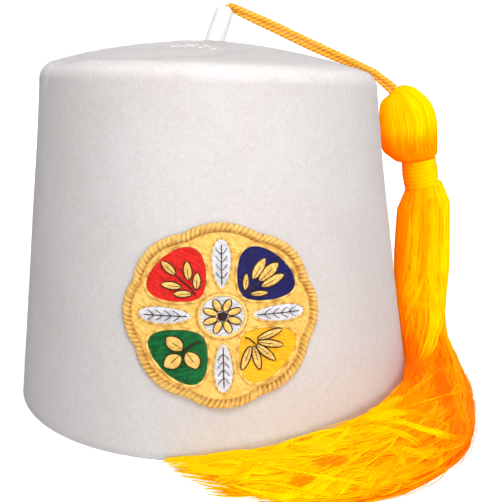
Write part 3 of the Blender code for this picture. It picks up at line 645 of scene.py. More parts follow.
def dent(x, y):
    """How deep the crease beside the stem is."""
    nearest = np.full(np.shape(x), 1.0)
    for (ax, ay), (bx, by) in zip(DENT_LINE, DENT_LINE[1:]):
        length = hypot(bx - ax, by - ay)
        share = np.clip(((x - ax) * (bx - ax) + (y - ay) * (by - ay)) / length**2, 0, 1)
        nearest = np.minimum(nearest, np.hypot(x - ax - share * (bx - ax), y - ay - share * (by - ay)))
    return DENT_DEPTH * np.exp(-((nearest / DENT_HALF_WIDTH) ** 2))


def crown_top_height(x, y):
    """Height of the dome, without the crease."""
    last_width, last_length, last_height = crown_outline()[WALL_RINGS + EDGE_RINGS]
    share = np.hypot(x / last_width, y / last_length)
    return leaned(x, y, last_height + (EDGE_HEIGHT + DOME_RISE - last_height) * (1 - share**2))[..., 2]


def crown_surface():
    """Outer points of the crown, (rings, sides, 3), and the outward direction at each."""
    rows = crown_outline()
    angles = circle(CROWN_SIDES)
    x, y = rows[:, 0, None] * np.cos(angles), rows[:, 1, None] * np.sin(angles)
    points = leaned(x, y, rows[:, 2, None])
    points[WALL_RINGS + 1 :, :, 2] -= dent(x, y)[WALL_RINGS + 1 :]
    up = np.gradient(points, axis=0)
    round_it = np.roll(points, -1, axis=1) - np.roll(points, 1, axis=1)
    return points, unit(np.cross(round_it, up))


def crown(finish):
    """The felt shell: inside, rim and outside in one skin."""
    points, out = crown_surface()
    x, y, height = (points[..., k : k + 1] for k in range(3))
    uneven = FELT_UNEVEN * np.sin(x * 97 + 1.3) * np.sin(height * 71 + 0.4) * np.sin(y * 83)
    points = points + out * uneven * smooth_step(0.0, 0.02, height)
    inner = points - out * FELT
    inner[0, :, 2] = 0.0
    edge = (points[0] + inner[0]) / 2
    up = (0, 0, RIM_ROUNDING)
    rim = [inner[0] + up, inner[0] * 0.7 + edge * 0.3, points[0] * 0.7 + edge * 0.3, points[0] + up]
    # Tone 1 along the rounded top edge, for the felt's painted highlight.
    past_wall = (np.arange(1, len(points)) - WALL_RINGS) / EDGE_RINGS
    painted_edge_highlight = smooth_step(0.0, 0.6, past_wall) * smooth_step(1.3, 0.8, past_wall)
    tone = np.concatenate([np.zeros(len(inner) - 1 + len(rim)), painted_edge_highlight])
    skin = np.array([*inner[:0:-1], *rim, *points[1:]])
    shape = Shape()
    shape.grid(skin, tone[:, None] * np.ones(CROWN_SIDES), closed=True)
    top = leaned(0.0, 0.0, EDGE_HEIGHT + DOME_RISE)
    index = np.arange(CROWN_SIDES)
    fan = np.stack([index, np.roll(index, -1), np.full(CROWN_SIDES, CROWN_SIDES)], -1)
    for ring, apex in ((points[-1], top), (inner[-1, ::-1], top - (0, 0, FELT))):
        shape.add(np.vstack([ring, apex]), [fan], 0.0)
    made = shape.piece("felt_crown", finish, "white_felt", ["crown"])
    weld(made)
    return points, out


def weld(made):
    """Join vertices that lie on each other."""
    bm = bmesh.new()
    bm.from_mesh(made.data)
    bmesh.ops.remove_doubles(bm, verts=bm.verts[:], dist=1e-6)
    bm.to_mesh(made.data)
    bm.free()


def felt_fuzz(points, out, finish):
    """Loose fibres that lie on the felt and stand off its edges a little."""
    rings, sides = points.shape[:2]
    size = np.sqrt(np.hypot(points[:, 0, 0], points[:, 0, 1]))
    ring = rng.choice(np.arange(1, rings - 1), size=FIBRES, p=size[1:-1] / size[1:-1].sum())
    side = rng.integers(0, sides, FIBRES)
    here, normal = points[ring, side], out[ring, side]
    level = unit(np.cross(normal, rng.normal(size=(FIBRES, 3))))
    across = np.cross(normal, level)
    length = rng.uniform(0.0012, 0.0040, FIBRES)
    bend = rng.normal(0, 0.45, FIBRES)
    stand = rng.uniform(0.00004, 0.00030, FIBRES)
    s = np.linspace(-1, 1, FIBRE_STEPS)
    lift = stand[:, None] * (1 - s**2) + 0.00002 + np.abs(s) ** 3 * uniform_each(FIBRES, 0, 0.0003)
    paths = (
        here[:, None]
        + level[:, None] * (s * length[:, None] / 2)[..., None]
        + across[:, None] * (bend[:, None] * s**2 * length[:, None] / 2)[..., None]
        + normal[:, None] * lift[..., None]
    )
    shape = Shape()
    shape.tubes(off_floor(paths, 0.0001), FIBRE_RADIUS, HAIR_SIDES, rng.uniform(0, 1, FIBRES))
    shape.piece("felt_fuzz", finish, "white_felt")


def top_stitches(finish):
    """The few short stitches beside the stem, where it is sewn down."""
    shape = Shape()
    s = np.linspace(-1, 1, 9)
    for x, y, turn, half in TOP_STITCHES:
        px = x + half * s * cos(radians(turn))
        py = y + half * s * sin(radians(turn))
        height = crown_top_height(px, py) - dent(px, py) + STITCH_BOW * (1 - s**2)
        shape.tubes(np.stack([px, py, height], -1)[None], STITCH_RADIUS, THREAD_SIDES, 0.8)
    shape.piece("top_stitches", finish, "white_felt")


# ---- stem ----


def stem(finish):
    """A tube with a level rim that dips where the cord lies in it, and a foot cut to the dome."""
    axis = np.array((sin(STEM_TILT), 0, cos(STEM_TILT)))
    across = np.array((cos(STEM_TILT), 0, -sin(STEM_TILT)))
    angles = circle(STEM_SIDES)
    toward = np.cos(angles)
    lip = STEM_LIP

    def ring(radius, down):
        """Points round the tube, down from its level rim."""
        wobble = 1 + 0.010 * np.sin(3 * angles + 0.7)
        turned = across * toward[:, None] + np.array((0, 1, 0)) * np.sin(angles)[:, None]
        rise = tan(STEM_TILT) * (STEM_RADIUS * (1 - 2 * np.maximum(0, toward) ** 2) + radius * toward)
        return STEM_TOP + turned * (radius * wobble)[:, None] + axis * (rise - down)[:, None]

    def foot(radius):
        """Points of the rim moved down the tube until they lie on the dome."""
        top = ring(radius, 0.0)
        length = np.zeros(len(top))
        for _ in range(12):
            low = top - axis * length[:, None]
            length += (low[:, 2] - crown_top_height(low[:, 0], low[:, 1]) - 0.0001) / axis[2]
        return top - axis * length[:, None]

    outer_foot, inner_foot = foot(STEM_FOOT_RADIUS), foot(STEM_BORE_RADIUS)
    flare = outer_foot + (outer_foot - outer_foot.mean(0)) * STEM_FLARE
    wall = [outer_foot * (1 - s) + ring(STEM_RADIUS, lip) * s for s in (0.05, 0.2, 0.5, 0.8, 1.0)]
    outer_lip = [ring(STEM_RADIUS - lip * 0.3, lip * 0.3), ring(STEM_RADIUS - lip, 0)]
    inner_lip = [ring(STEM_BORE_RADIUS + lip, 0), ring(STEM_BORE_RADIUS + lip * 0.3, lip * 0.3)]
    bore = [ring(STEM_BORE_RADIUS, lip), inner_foot]
    shape = Shape()
    shape.grid(np.array([inner_foot, flare, *wall, *outer_lip, *inner_lip, *bore]), closed=True)
    made = shape.piece("stem_tube", finish, "white_stem", ["stem"])
    weld(made)


# ---- cord ----


def cord_paths():
    """The two strands' centre lines, each with a ring every CORD_STEP."""
    last = len(CORD_ROUTE) - 1
    t = np.linspace(0, last, 4001)
    centre = along(CORD_ROUTE[:, :3], t)
    ahead = np.gradient(centre, axis=0)
    level = np.array((0.0, 1.0, 0.0))
    upward = -unit(np.cross(ahead, level))
    turn = np.radians(along(CORD_ROUTE[:, 3], t))[:, None]
    paths = []
    for sign in (1, -1):
        line = centre + (level * np.cos(turn) + upward * np.sin(turn)) * sign * CORD_SPACING / 2
        walked = np.concatenate([[0], np.cumsum(np.linalg.norm(np.diff(line, axis=0), axis=1))])
        stops = np.linspace(0, walked[-1], ceil(walked[-1] / CORD_STEP))
        paths.append(np.stack([np.interp(stops, walked, line[:, k]) for k in range(3)], -1))
    return paths


def cords(finish):
    """Two strands, each twisted of three plies, made whole from the stem to the tassel."""
    for number, path in enumerate(cord_paths(), 1):
        length = float(np.linalg.norm(np.diff(path, axis=0), axis=1).sum())
        twist = 2 * pi * np.linspace(0, length / CORD_TURN_LENGTH, len(path)) + number
        radius = CORD_DIAMETER / 2 * CORD_SWELL
        shape = Shape()
        shape.tubes(path[None], radius, CORD_SIDES, 0.9, CORD_PLIES, CORD_GROOVE, twist)
        made = shape.piece(f"twisted_cord_{number}", finish, "gold_cord", [f"cord_strand_{number}"])


# ---- tassel ----


class TasselFrames:
    """The tassel's path as dense arrays, read at any t counted in sections."""

    def __init__(self):
        self.t = np.linspace(0, LONGEST_END + 0.5, 900)
        angle, height, inner, outer, depth = along(TASSEL_SECTIONS, self.t).T
        angle = np.radians(angle)
        half_width, half_length = wall_half_sizes(height)
        out = unit(np.stack([np.cos(angle) / half_width, -np.sin(angle) / half_length, 0 * angle], -1))
        wall = np.stack([half_width * np.cos(angle), -half_length * np.sin(angle), height], -1)
        centre = wall + out * ((inner + outer) / 2)[:, None]
        shoulder = SHOULDER_SLOPE * np.maximum(0, 1 - self.t / SHOULDER_END)
        out = unit(out + np.array((0, 0, 1)) * shoulder[:, None])
        second = unit(np.cross(np.gradient(centre, axis=0), out))
        self.table = np.column_stack([centre, out, second, (outer - inner) / 2, depth])
        steps = np.linalg.norm(np.diff(centre, axis=0), axis=1)
        steps *= np.where(self.t[1:] < STRAIGHT_END, 0.5, 1.0)  # the straight stretch needs half the points
        self.walked = np.concatenate([[0], np.cumsum(steps)])

    def points(self, t, across, deep):
        """Points in the sections at t. across runs from -1 at the hat to 1, deep from -1 behind to 1."""
        read = [np.interp(t, self.t, column) for column in self.table.T]
        centre, out, second = (np.stack(read[i : i + 3], -1) for i in (0, 3, 6))
        return centre + out * (across * read[9])[..., None] + second * (deep * read[10])[..., None]

    def even(self, end, count):
        """t at even distances along the path, from its start."""
        reach = np.interp(end, self.t, self.walked)
        return np.interp(np.linspace(0, reach, count), self.walked, self.t)


def rim_point(angle, reach):
    """across and deep at an angle round a section; a reach of 1 is on its outline."""
    across, deep = np.cos(angle), np.sin(angle)
    size = reach / (np.abs(across) ** SQUARENESS + np.abs(deep) ** SQUARENESS) ** (1 / SQUARENESS)
    return across * size, deep * size


def tip_end(across):
    """Where the locks end, by their place across: the longest near the hat, the shortest outside."""
    return np.minimum(LONGEST_END, TIP_END + TIP_SLOPE * across + TIP_BEND * across**2)


def painted_silk_shade(t, across, deep):
    """Painted shade and light on the silk: orange in shade at the bend and beside the hat above it, yellow
    where it spreads out in the light, and lighter towards the front.
    """
    tone, slope = (np.interp(t, PAINTED_SHADE_T, row) for row in (PAINTED_SHADE_MIDDLE, PAINTED_SHADE_ACROSS))
    return tone + slope * across + PAINTED_SHADE_DEEP * deep


def head_points(x, height, tilt, radius, angles):
    """Points at angles round rings of the bulb or the neck."""
    tilt = np.radians(tilt)
    across = np.stack([np.cos(tilt), 0 * tilt, np.sin(tilt)], -1)
    centre = np.stack([x, 0 * x + HEAD_Y, height], -1)
    side = np.array((0.0, 1.0, 0.0))
    outwards = across * np.cos(angles)[..., None] + side * np.sin(angles)[..., None]
    return centre + outwards * radius[..., None]


def neck_rings(share):
    """x, height, tilt and radius of the neck, at shares of the way down it."""
    top, bottom = np.array(NECK_TOP), np.array(NECK_BOTTOM)
    return (top + (bottom - top) * share[:, None]).T


def tassel_core(frames, finish):
    """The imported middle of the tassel, just under the strands that show."""
    sides, steps, head_steps = 56, 150, 60
    t = np.linspace(0, CORE_END, steps)[:, None]
    angles = circle(sides)
    size = CORE_SIZE * np.minimum(1.0, 0.30 + 4.0 * (1 - t / CORE_END))
    furrow = 1 + 0.04 * np.sin(9 * angles + 0.6 * t) + 0.03 * np.sin(23 * angles - 0.9 * t)
    across, deep = size * furrow * np.cos(angles), size * furrow * np.sin(angles)
    points = off_floor(frames.points(np.broadcast_to(t, (steps, sides)), across, deep))
    shape = Shape()
    shape.grid(points[:, ::-1], painted_silk_shade(t, across, deep)[:, ::-1], closed=True)
    rows = np.array([*HEAD_RINGS, NECK_TOP, NECK_BOTTOM])
    t = np.linspace(0, len(rows) - 1, head_steps)
    x, height, tilt, radius = (column[:, None] for column in along(rows, t).T)
    turned = np.broadcast_to(angles, (head_steps, sides))
    points = head_points(x, height, tilt, radius - CORE_UNDER_HEAD, turned)
    shape.grid(points[:, ::-1], painted_head_shade(height, turned)[:, ::-1], closed=True)
    shape.piece("tassel_core", finish, "yellow_silk", ["tassel"])


def painted_head_shade(height, angles):
    """Painted light and shade on the bulb: yellow on top and towards the front where it is lit, orange below
    and on the side by the hat where it is shaded.
    """
    lit_side = np.cos(angles + radians(55))
    return 0.10 + 0.50 * smooth_step(0.1010, 0.1105, height) + 0.24 * lit_side


def neck_start(angles, share):
    """Points in the neck under the wound thread, where the strands come out."""
    x, height, tilt, radius = neck_rings(np.full(len(angles), share))
    return head_points(x, height, tilt, radius * NECK_PACKED, angles)


def strand_ends(count, end):
    """Where each strand of a lock ends: most near its tip, some well before it."""
    ends = end - np.abs(rng.normal(0, 0.22, count))
    early = max(1, count // 8)
    ends[:early] -= rng.uniform(0.5, 2.5, early)
    return ends


def strand_paths(frames, layer, lock_angle):
    """Strands of one lock, from the neck to their own tips, with their radii and tones."""
    start = np.array((cos(lock_angle), sin(lock_angle))) * layer.reach
    goal = np.clip(start[0] + rng.normal(0, layer.wander), -0.93, 0.93)
    end = tip_end(goal) - rng.uniform(0, 0.8)
    phase = rng.uniform(0, 2 * pi, 6)
    count = layer.strands
    place = np.sqrt(uniform_each(count, 0, 1)) * layer.spread
    turn = uniform_each(count, 0, 2 * pi)
    wave = rng.uniform(0, 2 * pi, (4, count, 1))
    ends = strand_ends(count, end)
    t = np.stack([frames.even(stop, STRAND_STEPS) for stop in ends])
    # The lock's middle line, which wanders more the looser it hangs
    loose = smooth_step(*LOOSENS, t)
    middle = start[0] + (goal - start[0]) * smooth_step(*DRIFTS, t)
    middle = middle + loose * ripple(t, (0.15, 1.5, phase[0]), (0.035, 3.7, phase[1]))
    rise = start[1] + loose * ripple(t, (0.12, 1.3, phase[2]), (0.04, 3.3, phase[3]))
    # Each strand turns slowly round that line and is drawn in at the tip
    tip = smooth_step(1.6, 0.0, ends[:, None] - t)
    gather = (1 - 0.70 * tip) * (1.25 - 0.40 * loose)
    spin = turn + (0.22 + 0.14 * np.sin(phase[4])) * t * np.sign(np.sin(phase[5]))
    frizz = loose * uniform_each(count, 0.3, 1.6)
    sway_across = ripple(t, (0.010, 5.3, wave[0]), (0.006, 11.1, wave[2]))
    sway_deep = ripple(t, (0.014, 4.9, wave[1]), (0.008, 10.3, wave[3]))
    across = middle + place * gather * np.cos(spin) + frizz * sway_across
    deep = rise + 1.25 * place * gather * np.sin(spin) + frizz * sway_deep
    # None leaves the section's outline, which is itself a little uneven
    reach = (np.abs(across) ** SQUARENESS + np.abs(deep) ** SQUARENESS) ** (1 / SQUARENESS)
    uneven = 1 + 0.035 * loose * np.sin(3.1 * t + phase[5]) * np.sin(1.3 * t + phase[0])
    limit = np.minimum(1.0, STRAND_LIMIT * np.minimum(uneven, 1.012) / np.maximum(reach, 1e-6))
    across, deep = across * limit, deep * limit
    neck_angles = np.arctan2(-deep[:, 0], across[:, 0])
    neck = np.stack([neck_start(neck_angles, share) for share in NECK_SHARES], 1)
    paths = np.concatenate([neck, frames.points(t, across, deep)], 1)
    radius = STRAND_RADIUS * uniform_each(count, 0.8, 1.15) * np.ones((1, paths.shape[1]))
    radius[:, -4:] *= np.array((0.9, 0.8, 0.65, 0.35))
    streak = rng.normal(0, 0.075) + normal_each(count, 0.055)
    tone = painted_silk_shade(t, across, deep) + streak * (1 + 0.4 * loose)
    tone = np.concatenate([tone[:, :1], tone[:, :1], tone], 1)
    return off_floor(paths, radius), radius, np.clip(tone, 0, 1)


def tassel_strands(frames, finish):
    """Locks of strands round the core, in several joined meshes."""
    for number, layer in enumerate(STRAND_LAYERS):
        shape = Shape()
        for lock in range(layer.locks):
            angle = 2 * pi * (lock + 0.37 * number + rng.uniform(-0.25, 0.25)) / layer.locks
            paths, radius, tone = strand_paths(frames, layer, angle)
            shape.tubes(paths, radius, HAIR_SIDES, tone)
        shape.piece(f"tassel_strands_{layer.name}", finish, "yellow_silk")


def locks_on_top(frames, finish):
    """The locks over the others that catch the eye, each fanned out or drawn together along its way."""
    shape = Shape()
    s = np.linspace(0, 1, LOCK_STEPS)
    for count, start_width, end_width, lock_tone, points in LOCKS_ON_TOP:
        points = np.array(points)
        first, last = uniform_each(count, 0, 0.18), uniform_each(count, 0.80, 1.06)
        place = (len(points) - 1) * np.clip(first + (last - first) * s, 0, 1)
        t, angle = along(points, place).transpose(2, 0, 1)
        beside = normal_each(count, 0.55) * (start_width + (end_width - start_width) * s)
        bend = normal_each(count, 0.006) * np.sin(pi * s * uniform_each(count, 0.8, 2.2))
        turned = pi * np.clip(angle + beside + bend, 0.01, 0.99)
        t = t + normal_each(count, 0.035) + 0.5 * normal_each(count, 1) * beside
        t = np.minimum(t, tip_end(np.cos(turned)) - 0.05)
        lift = 0.006 + (0.010 + 0.024 * np.sin(pi * s)) * np.sin(turned)
        across, deep = rim_point(turned, STRAND_LIMIT + lift + uniform_each(count, -0.02, 0.008))
        own = lock_tone + normal_each(count, 0.045)
        blend = smooth_step(0.0, 0.20, s) * smooth_step(1.0, 0.66, s)
        tone = own * blend + painted_silk_shade(t, across, deep) * (1 - blend)
        radius = LOCK_RADIUS * (1 - 0.5 * np.abs(2 * s - 1) ** 3) * np.ones((count, 1))
        path = off_floor(frames.points(t, across, deep))
        shape.tubes(path, radius, HAIR_SIDES, np.clip(tone, 0, 1))
    shape.piece("tassel_locks_on_top", finish, "yellow_silk")


def wisps(frames, finish):
    """Loose locks that cross the others on top of the pile, short and frayed or long and drawn together."""
    shape = Shape()
    s = np.linspace(0, 1, WISP_STEPS)
    for number in range(WISPS):
        long_one, high_up = number % 4 == 0, number % 5 == 0
        count = rng.integers(4, 8) if long_one else rng.integers(5, 11)
        length = rng.uniform(1.4, 2.6) if long_one else rng.uniform(0.8, 1.8)
        angle = rng.uniform(0.10, 0.97) * pi
        swing = rng.normal(-0.5, 0.9) if long_one else rng.normal(-0.1, 0.6)
        start = rng.uniform(4.4, 9.5) if high_up else rng.uniform(11.0, 14.4)
        t = start + length * s * (1 if rng.random() < 0.7 else -1)
        curl = rng.normal(0, 0.07) * np.sin(2 * pi * s * rng.uniform(0.4, 1.0) + rng.uniform(0, 6))
        fray = normal_each(count, 1) * (0.018 + (0.03 if long_one else 0.08) * s**2)
        turned = angle + swing * s + curl + fray + normal_each(count, 0.010)
        turned = np.clip(turned, 0.01 * pi, 0.99 * pi)
        t = np.clip(t, 3.6, tip_end(np.cos(turned)) - 0.2)
        lift = rng.uniform(0.02, 0.08) * np.sin(pi * s) ** 0.8 + uniform_each(count, -0.03, 0.02)
        across, deep = rim_point(turned, STRAND_LIMIT - 0.02 + lift)
        radius = WISP_RADIUS * (1 - 0.65 * s**3) * np.ones((count, 1))
        tone = painted_silk_shade(t, across, deep) + rng.uniform(0.05, 0.25) + normal_each(count, 0.05)
        path = off_floor(frames.points(t, across, deep))
        shape.tubes(path, radius, HAIR_SIDES, np.clip(tone, 0, 1))
    shape.piece("tassel_wisps", finish, "yellow_silk")


def flyaways(frames, finish):
    """Single fine hairs that leave the tassel's outline, a third of them at its tips and curled."""
    shape = Shape()
    s = np.linspace(0, 1, FLYAWAY_STEPS)
    radius = np.linspace(*FLYAWAY_RADII, FLYAWAY_STEPS)
    for number in range(FLYAWAYS):
        all_round, at_tip = number % 3 == 0, number % 3 == 2
        angle = rng.uniform(0, 2 * pi) if all_round else rng.uniform(0.02, 0.98) * pi
        end = tip_end(cos(angle))
        if at_tip:
            turns = rng.uniform(0.3, 1.3) * pi * s
            t = end - rng.uniform(0.4, 1.3) * (1 - s) + 0.06 * np.sin(turns * 1.7)
            off = 0.05 * (1 - np.cos(turns))
            drift = rng.normal(0, 0.12) * s + 0.10 * s * np.sin(turns * 2)
        else:
            start = rng.uniform(0.1 if all_round else 7.0, end - 1.0)
            t = np.minimum(start + rng.uniform(0.3, 1.9) * s, end)
            off = rng.uniform(0.03, 0.13) if start > 5 else rng.uniform(0.02, 0.07)
            off = off * np.sin(pi * s * rng.uniform(0.5, 1.0))
            drift = rng.normal(0, 0.30) * s + 0.05 * np.sin(9 * s + rng.uniform(0, 6))
        across, deep = rim_point(angle + drift, FLYAWAY_REACH + off)
        path = off_floor(frames.points(t, across, deep))
        tone = np.clip(painted_silk_shade(t, across, deep) + rng.uniform(-0.1, 0.3), 0, 1)
        shape.tubes(path[None], radius, HAIR_SIDES, tone[None])
    shape.piece("tassel_flyaways", finish, "yellow_silk")


def tassel_head(finish):
    """Threads that run down over the bulb from the cord to the neck."""
    count = HEAD_THREADS
    low_neck = np.array(NECK_TOP) * 0.7 + np.array(NECK_BOTTOM) * 0.3
    rows = np.array([HEAD_START, *HEAD_RINGS, NECK_TOP, low_neck])
    t = np.linspace(0.0, len(rows) - 1, HEAD_THREAD_STEPS)
    x, height, tilt, radius = along(rows, t).T
    angles = 2 * pi * (np.arange(count) + rng.uniform(-0.35, 0.35, count)) / count
    sway = 0.030 * np.sin(0.7 * t + uniform_each(count, 0, 2 * pi))
    sunk = uniform_each(count, 0.00015, 0.00036)
    turned = angles[:, None] + sway
    paths = head_points(x, height, tilt, np.maximum(radius - sunk, 0.0003), turned)
    thick = HEAD_THREAD_RADIUS * np.clip(radius / 0.009, 0.25, 1.0)
    tone = painted_head_shade(height, turned) + normal_each(count, 0.07)
    shape = Shape()
    shape.tubes(paths, np.broadcast_to(thick, (count, len(t))), HAIR_SIDES, np.clip(tone, 0, 1))
    shape.piece("tassel_head_threads", finish, "yellow_silk")


def neck_wrap(finish):
    """The thread wound round the neck, turn beside turn."""
    steps = 40  # in each turn
    count = WRAP_TURNS * steps
    share = np.linspace(WRAP_START, WRAP_END, count)
    x, height, tilt, radius = neck_rings(share)
    angles = np.arange(count) * 2 * pi / steps
    bulge = 0.00060 + 0.00035 * np.sin(pi * (share - WRAP_START) / (WRAP_END - WRAP_START))
    uneven = ripple(angles, (0.00008, 0.37, 0), (0.00005, 1.91, 0))
    path = head_points(x, height, tilt, radius + bulge + uneven, angles)
    # Painted light and shade: the wound thread is lighter on the side towards the light and orange on the
    # side away from it.
    tone = 0.34 + 0.38 * np.cos(angles + radians(40)) + 0.08 * np.sin(angles * 0.61)
    shape = Shape()
    shape.tubes(path[None], WRAP_THREAD_RADIUS, WRAP_SIDES, np.clip(tone, 0, 1)[None])
    shape.piece("wound_neck_thread", finish, "yellow_silk", ["neck_wrap"])


# ---- patch ----


def on_wall(u, v, outwards):
    """Points over the front wall: u across and v up from the patch's centre, before it is made oval."""
    height = PATCH_CENTRE_HEIGHT + np.asarray(v) * PATCH_HEIGHT_SCALE
    half_width, half_length = wall_half_sizes(height)
    turn = (PATCH_CENTRE_X + np.asarray(u) * PATCH_WIDTH_SCALE) / half_width
    slope = (RIM_HALF_LENGTH - EDGE_HALF_LENGTH) / EDGE_HEIGHT
    level = unit(np.stack([np.sin(turn) / half_width, -np.cos(turn) / half_length, 0 * turn], -1))
    out = unit(level + (0, 0, slope))
    surface = leaned(half_width * np.sin(turn), -half_length * np.cos(turn), height)
    return surface + out * np.asarray(outwards)[..., None]


def scalloped(angle, inset=0.0):
    """The patch's radius at an angle."""
    return PATCH_RADIUS - inset + SCALLOP_DEPTH * np.abs(np.cos(SCALLOPS * angle / 2))


def turned_by(turn, x, y, centre=(0.0, 0.0)):
    """Points (x, y), turned about the origin and then moved to the centre."""
    c, s = cos(turn), sin(turn)
    return np.stack([centre[0] + x * c - y * s, centre[1] + x * s + y * c], -1)


def petal_outline(start, end, half_width, turn, points=48, fullness=0.8):
    """A petal or leaf that points away from the patch's centre: round outside and narrow inside."""
    angle = circle(points)
    share = (1 - np.cos(angle)) / 2
    reach = start + (end - start) * share
    width = half_width * np.sin(angle) * (1 - fullness * (0.5 - share))
    return turned_by(turn, reach, width)


def oval_outline(centre, half_long, half_wide, turn, points=24, sharp=1.0):
    """An oval, with pointed ends where sharp is more than 1."""
    angle = circle(points)
    b = half_wide * np.sin(angle) * np.abs(np.sin(angle)) ** (sharp - 1)
    return turned_by(turn, half_long * np.cos(angle), b, centre)


def crossings(outline, y):
    """Where a closed outline crosses the line at y, or None if it doesn't."""
    after = np.roll(outline, -1, axis=0)
    hit = (outline[:, 1] - y) * (after[:, 1] - y) <= 0
    a, b = outline[hit], after[hit]
    if len(a) < 2:
        return None
    rise = b[:, 1] - a[:, 1]
    share = (y - a[:, 1]) / np.where(np.abs(rise) < 1e-12, 1e-12, rise)
    return a[:, 0] + share * (b[:, 0] - a[:, 0])


def stitched(shape, outline, turn, lift, height, pitch=THREAD_PITCH, stitch=None, shade=0.5):
    """Fill an outline with parallel threads. turn is their direction, stitch the length of their stitches."""
    c, s = cos(turn), sin(turn)
    local = np.stack([outline[:, 0] * c + outline[:, 1] * s, -outline[:, 0] * s + outline[:, 1] * c], -1)
    low, high = local[:, 1].min(), local[:, 1].max()
    offsets = np.array((-0.56, -0.24, 0.24, 0.56)) * pitch
    bow = np.array((-1, 0, 0, -1)) * THREAD_BOW
    for row, y in enumerate(np.arange(low + pitch / 2, high, pitch)):
        met = crossings(local, y)
        if met is None:
            continue
        x0, x1 = met.min() + rng.uniform(-1.5e-4, 1e-4), met.max() - rng.uniform(-1.5e-4, 1e-4)
        if x1 - x0 < pitch:
            continue
        steps = max(4, int((x1 - x0) / (0.33 * stitch if stitch else 0.0007))) + 1
        x = np.linspace(x0, x1, steps)
        ends = np.clip(np.minimum(x - x0, x1 - x) / THREAD_ROUNDING, 0, 1)
        rise = lift + height * np.sqrt(1 - (1 - ends) ** 2) + rng.normal(0, 0.00002)
        tone = np.full(steps, rng.normal(shade, 0.13))
        if stitch:
            place = (x - local[:, 0].min()) / stitch + 0.37 * (row % 3)
            edge = np.minimum(place % 1.0, 1 - place % 1.0)
            rise = rise - 0.00009 * np.exp(-((edge / 0.16) ** 2))
            each = rng.normal(shade, 0.20, int(place.max()) + 2)
            # Painted shade: each stitch is darker at its ends, where it dips between its neighbours.
            tone = each[place.astype(int)] - 0.25 * np.exp(-((edge / 0.14) ** 2))
        px = np.broadcast_to(x[:, None], (steps, 4))
        py = y + offsets + 0 * px
        points = on_wall(px * c - py * s, px * s + py * c, rise[:, None] + bow)
        shape.grid(points, tone=np.clip(tone, 0, 1)[:, None] * np.ones(4))


def outline_thread(shape, outline, radius, lift, tone=0.5, ticks=0):
    """A thread laid along a closed outline. ticks is the number of dark stitches over it."""
    closed = np.vstack([outline, outline[:1]])
    path = on_wall(closed[:, 0], closed[:, 1], np.full(len(closed), lift))
    if ticks:
        bright = np.sin(2 * pi * ticks * np.arange(len(closed)) / len(closed)) > -0.3
        tone = tone * (0.35 + 0.65 * bright)[None]
    shape.tubes(path[None], radius, THREAD_SIDES, tone)


def line_thread(shape, points, radius, lift):
    """A thread laid along a line of points."""
    points = along(np.array(points), np.linspace(0, len(points) - 1, 5 * len(points)))
    path = on_wall(points[:, 0], points[:, 1], np.full(len(points), lift))
    shape.tubes(path[None], radius, THREAD_SIDES)


def ring_outline(inset, points=EDGE_POINTS):
    """The patch's scalloped edge, drawn in by inset."""
    angles = circle(points)
    return scalloped(angles, inset)[:, None] * np.stack([np.cos(angles), np.sin(angles)], -1)


def padded_band():
    """The filling under the border's stitches: rings of points round the patch."""
    angles, section = circle(EDGE_POINTS), circle(10)
    middle = scalloped(angles) - BORDER_WIDTH / 2
    radius = middle[:, None] + (BORDER_WIDTH / 2 - 0.0003) * np.cos(section)
    lift = BORDER_LIFT + (BORDER_THICKNESS / 2 - 0.0002) * (1 + np.sin(section))
    lift = np.broadcast_to(lift, radius.shape)
    band = on_wall(radius * np.cos(angles)[:, None], radius * np.sin(angles)[:, None], lift)
    return np.concatenate([band, band[:1]])


def border(finish):
    """The overcast edge: a padded band with slanting stitches over it."""
    shape = Shape()
    shape.grid(padded_band(), tone=0.0, closed=True)
    count = BORDER_STITCHES
    over = np.linspace(-0.22 * pi, 1.22 * pi, 9)  # the angle over the band, a little past its lowest points
    slant = uniform_each(count, 1.5, 1.9)
    a = 2 * pi * (np.arange(count)[:, None] + slant * (over[None] / pi - 0.5)) / count
    wide = BORDER_WIDTH / 2 - 0.0001 + uniform_each(count, -0.0001, 0.0002)
    reach = scalloped(a) - BORDER_WIDTH / 2 + wide * np.cos(over)
    rise = np.maximum(0.0002, BORDER_LIFT + (BORDER_THICKNESS / 2) * (1 + np.sin(over)))
    stitches = on_wall(reach * np.cos(a), reach * np.sin(a), rise + uniform_each(count, -6e-5, 6e-5))
    tone = 0.62 + 0.14 * (-1.0) ** np.arange(count) + rng.normal(0, 0.06, count)
    tone = tone[:, None] - 0.42 * smooth_step(-0.1, -1.0, np.cos(over))
    shape.tubes(stitches, BORDER_STITCH_RADIUS, THREAD_SIDES, np.clip(tone, 0, 1))
    shape.piece("patch_overcast_edge", finish, "gold_thread", ["patch_border"])


def blade_fill(gold, outline, grain):
    """Raised satin stitch inside a blade's outline."""
    stitched(gold, outline, grain, FIELD_LIFT + 0.0002, 0.0006, FINE_PITCH, shade=0.72)


def motif(gold, brown, turn, blades, stalk):
    """A gold plant on a petal: a stalk and satin-stitched blades, outlined and veined in dark thread."""
    c, s = cos(turn), sin(turn)

    def place(reach, side):
        return np.array((reach * c - side * s, reach * s + side * c))

    line_thread(brown, [place(reach, side) for reach, side in stalk], STALK, FIELD_LIFT + 0.0005)
    for blade in blades:
        way = turn + radians(blade.lean)
        middle = place(blade.reach, blade.side)
        outline = oval_outline(middle, blade.half_long, blade.half_wide, way, sharp=1.25)
        blade_fill(gold, outline, way + radians(64))
        outline_thread(brown, outline, BLADE_EDGE, FIELD_LIFT + 0.0004)
        tip = np.array((cos(way), sin(way))) * blade.half_long
        vein = [middle + tip * share for share in (-0.9, -0.3, 0.25)]
        line_thread(brown, vein, VEIN, FIELD_LIFT + 0.0008)


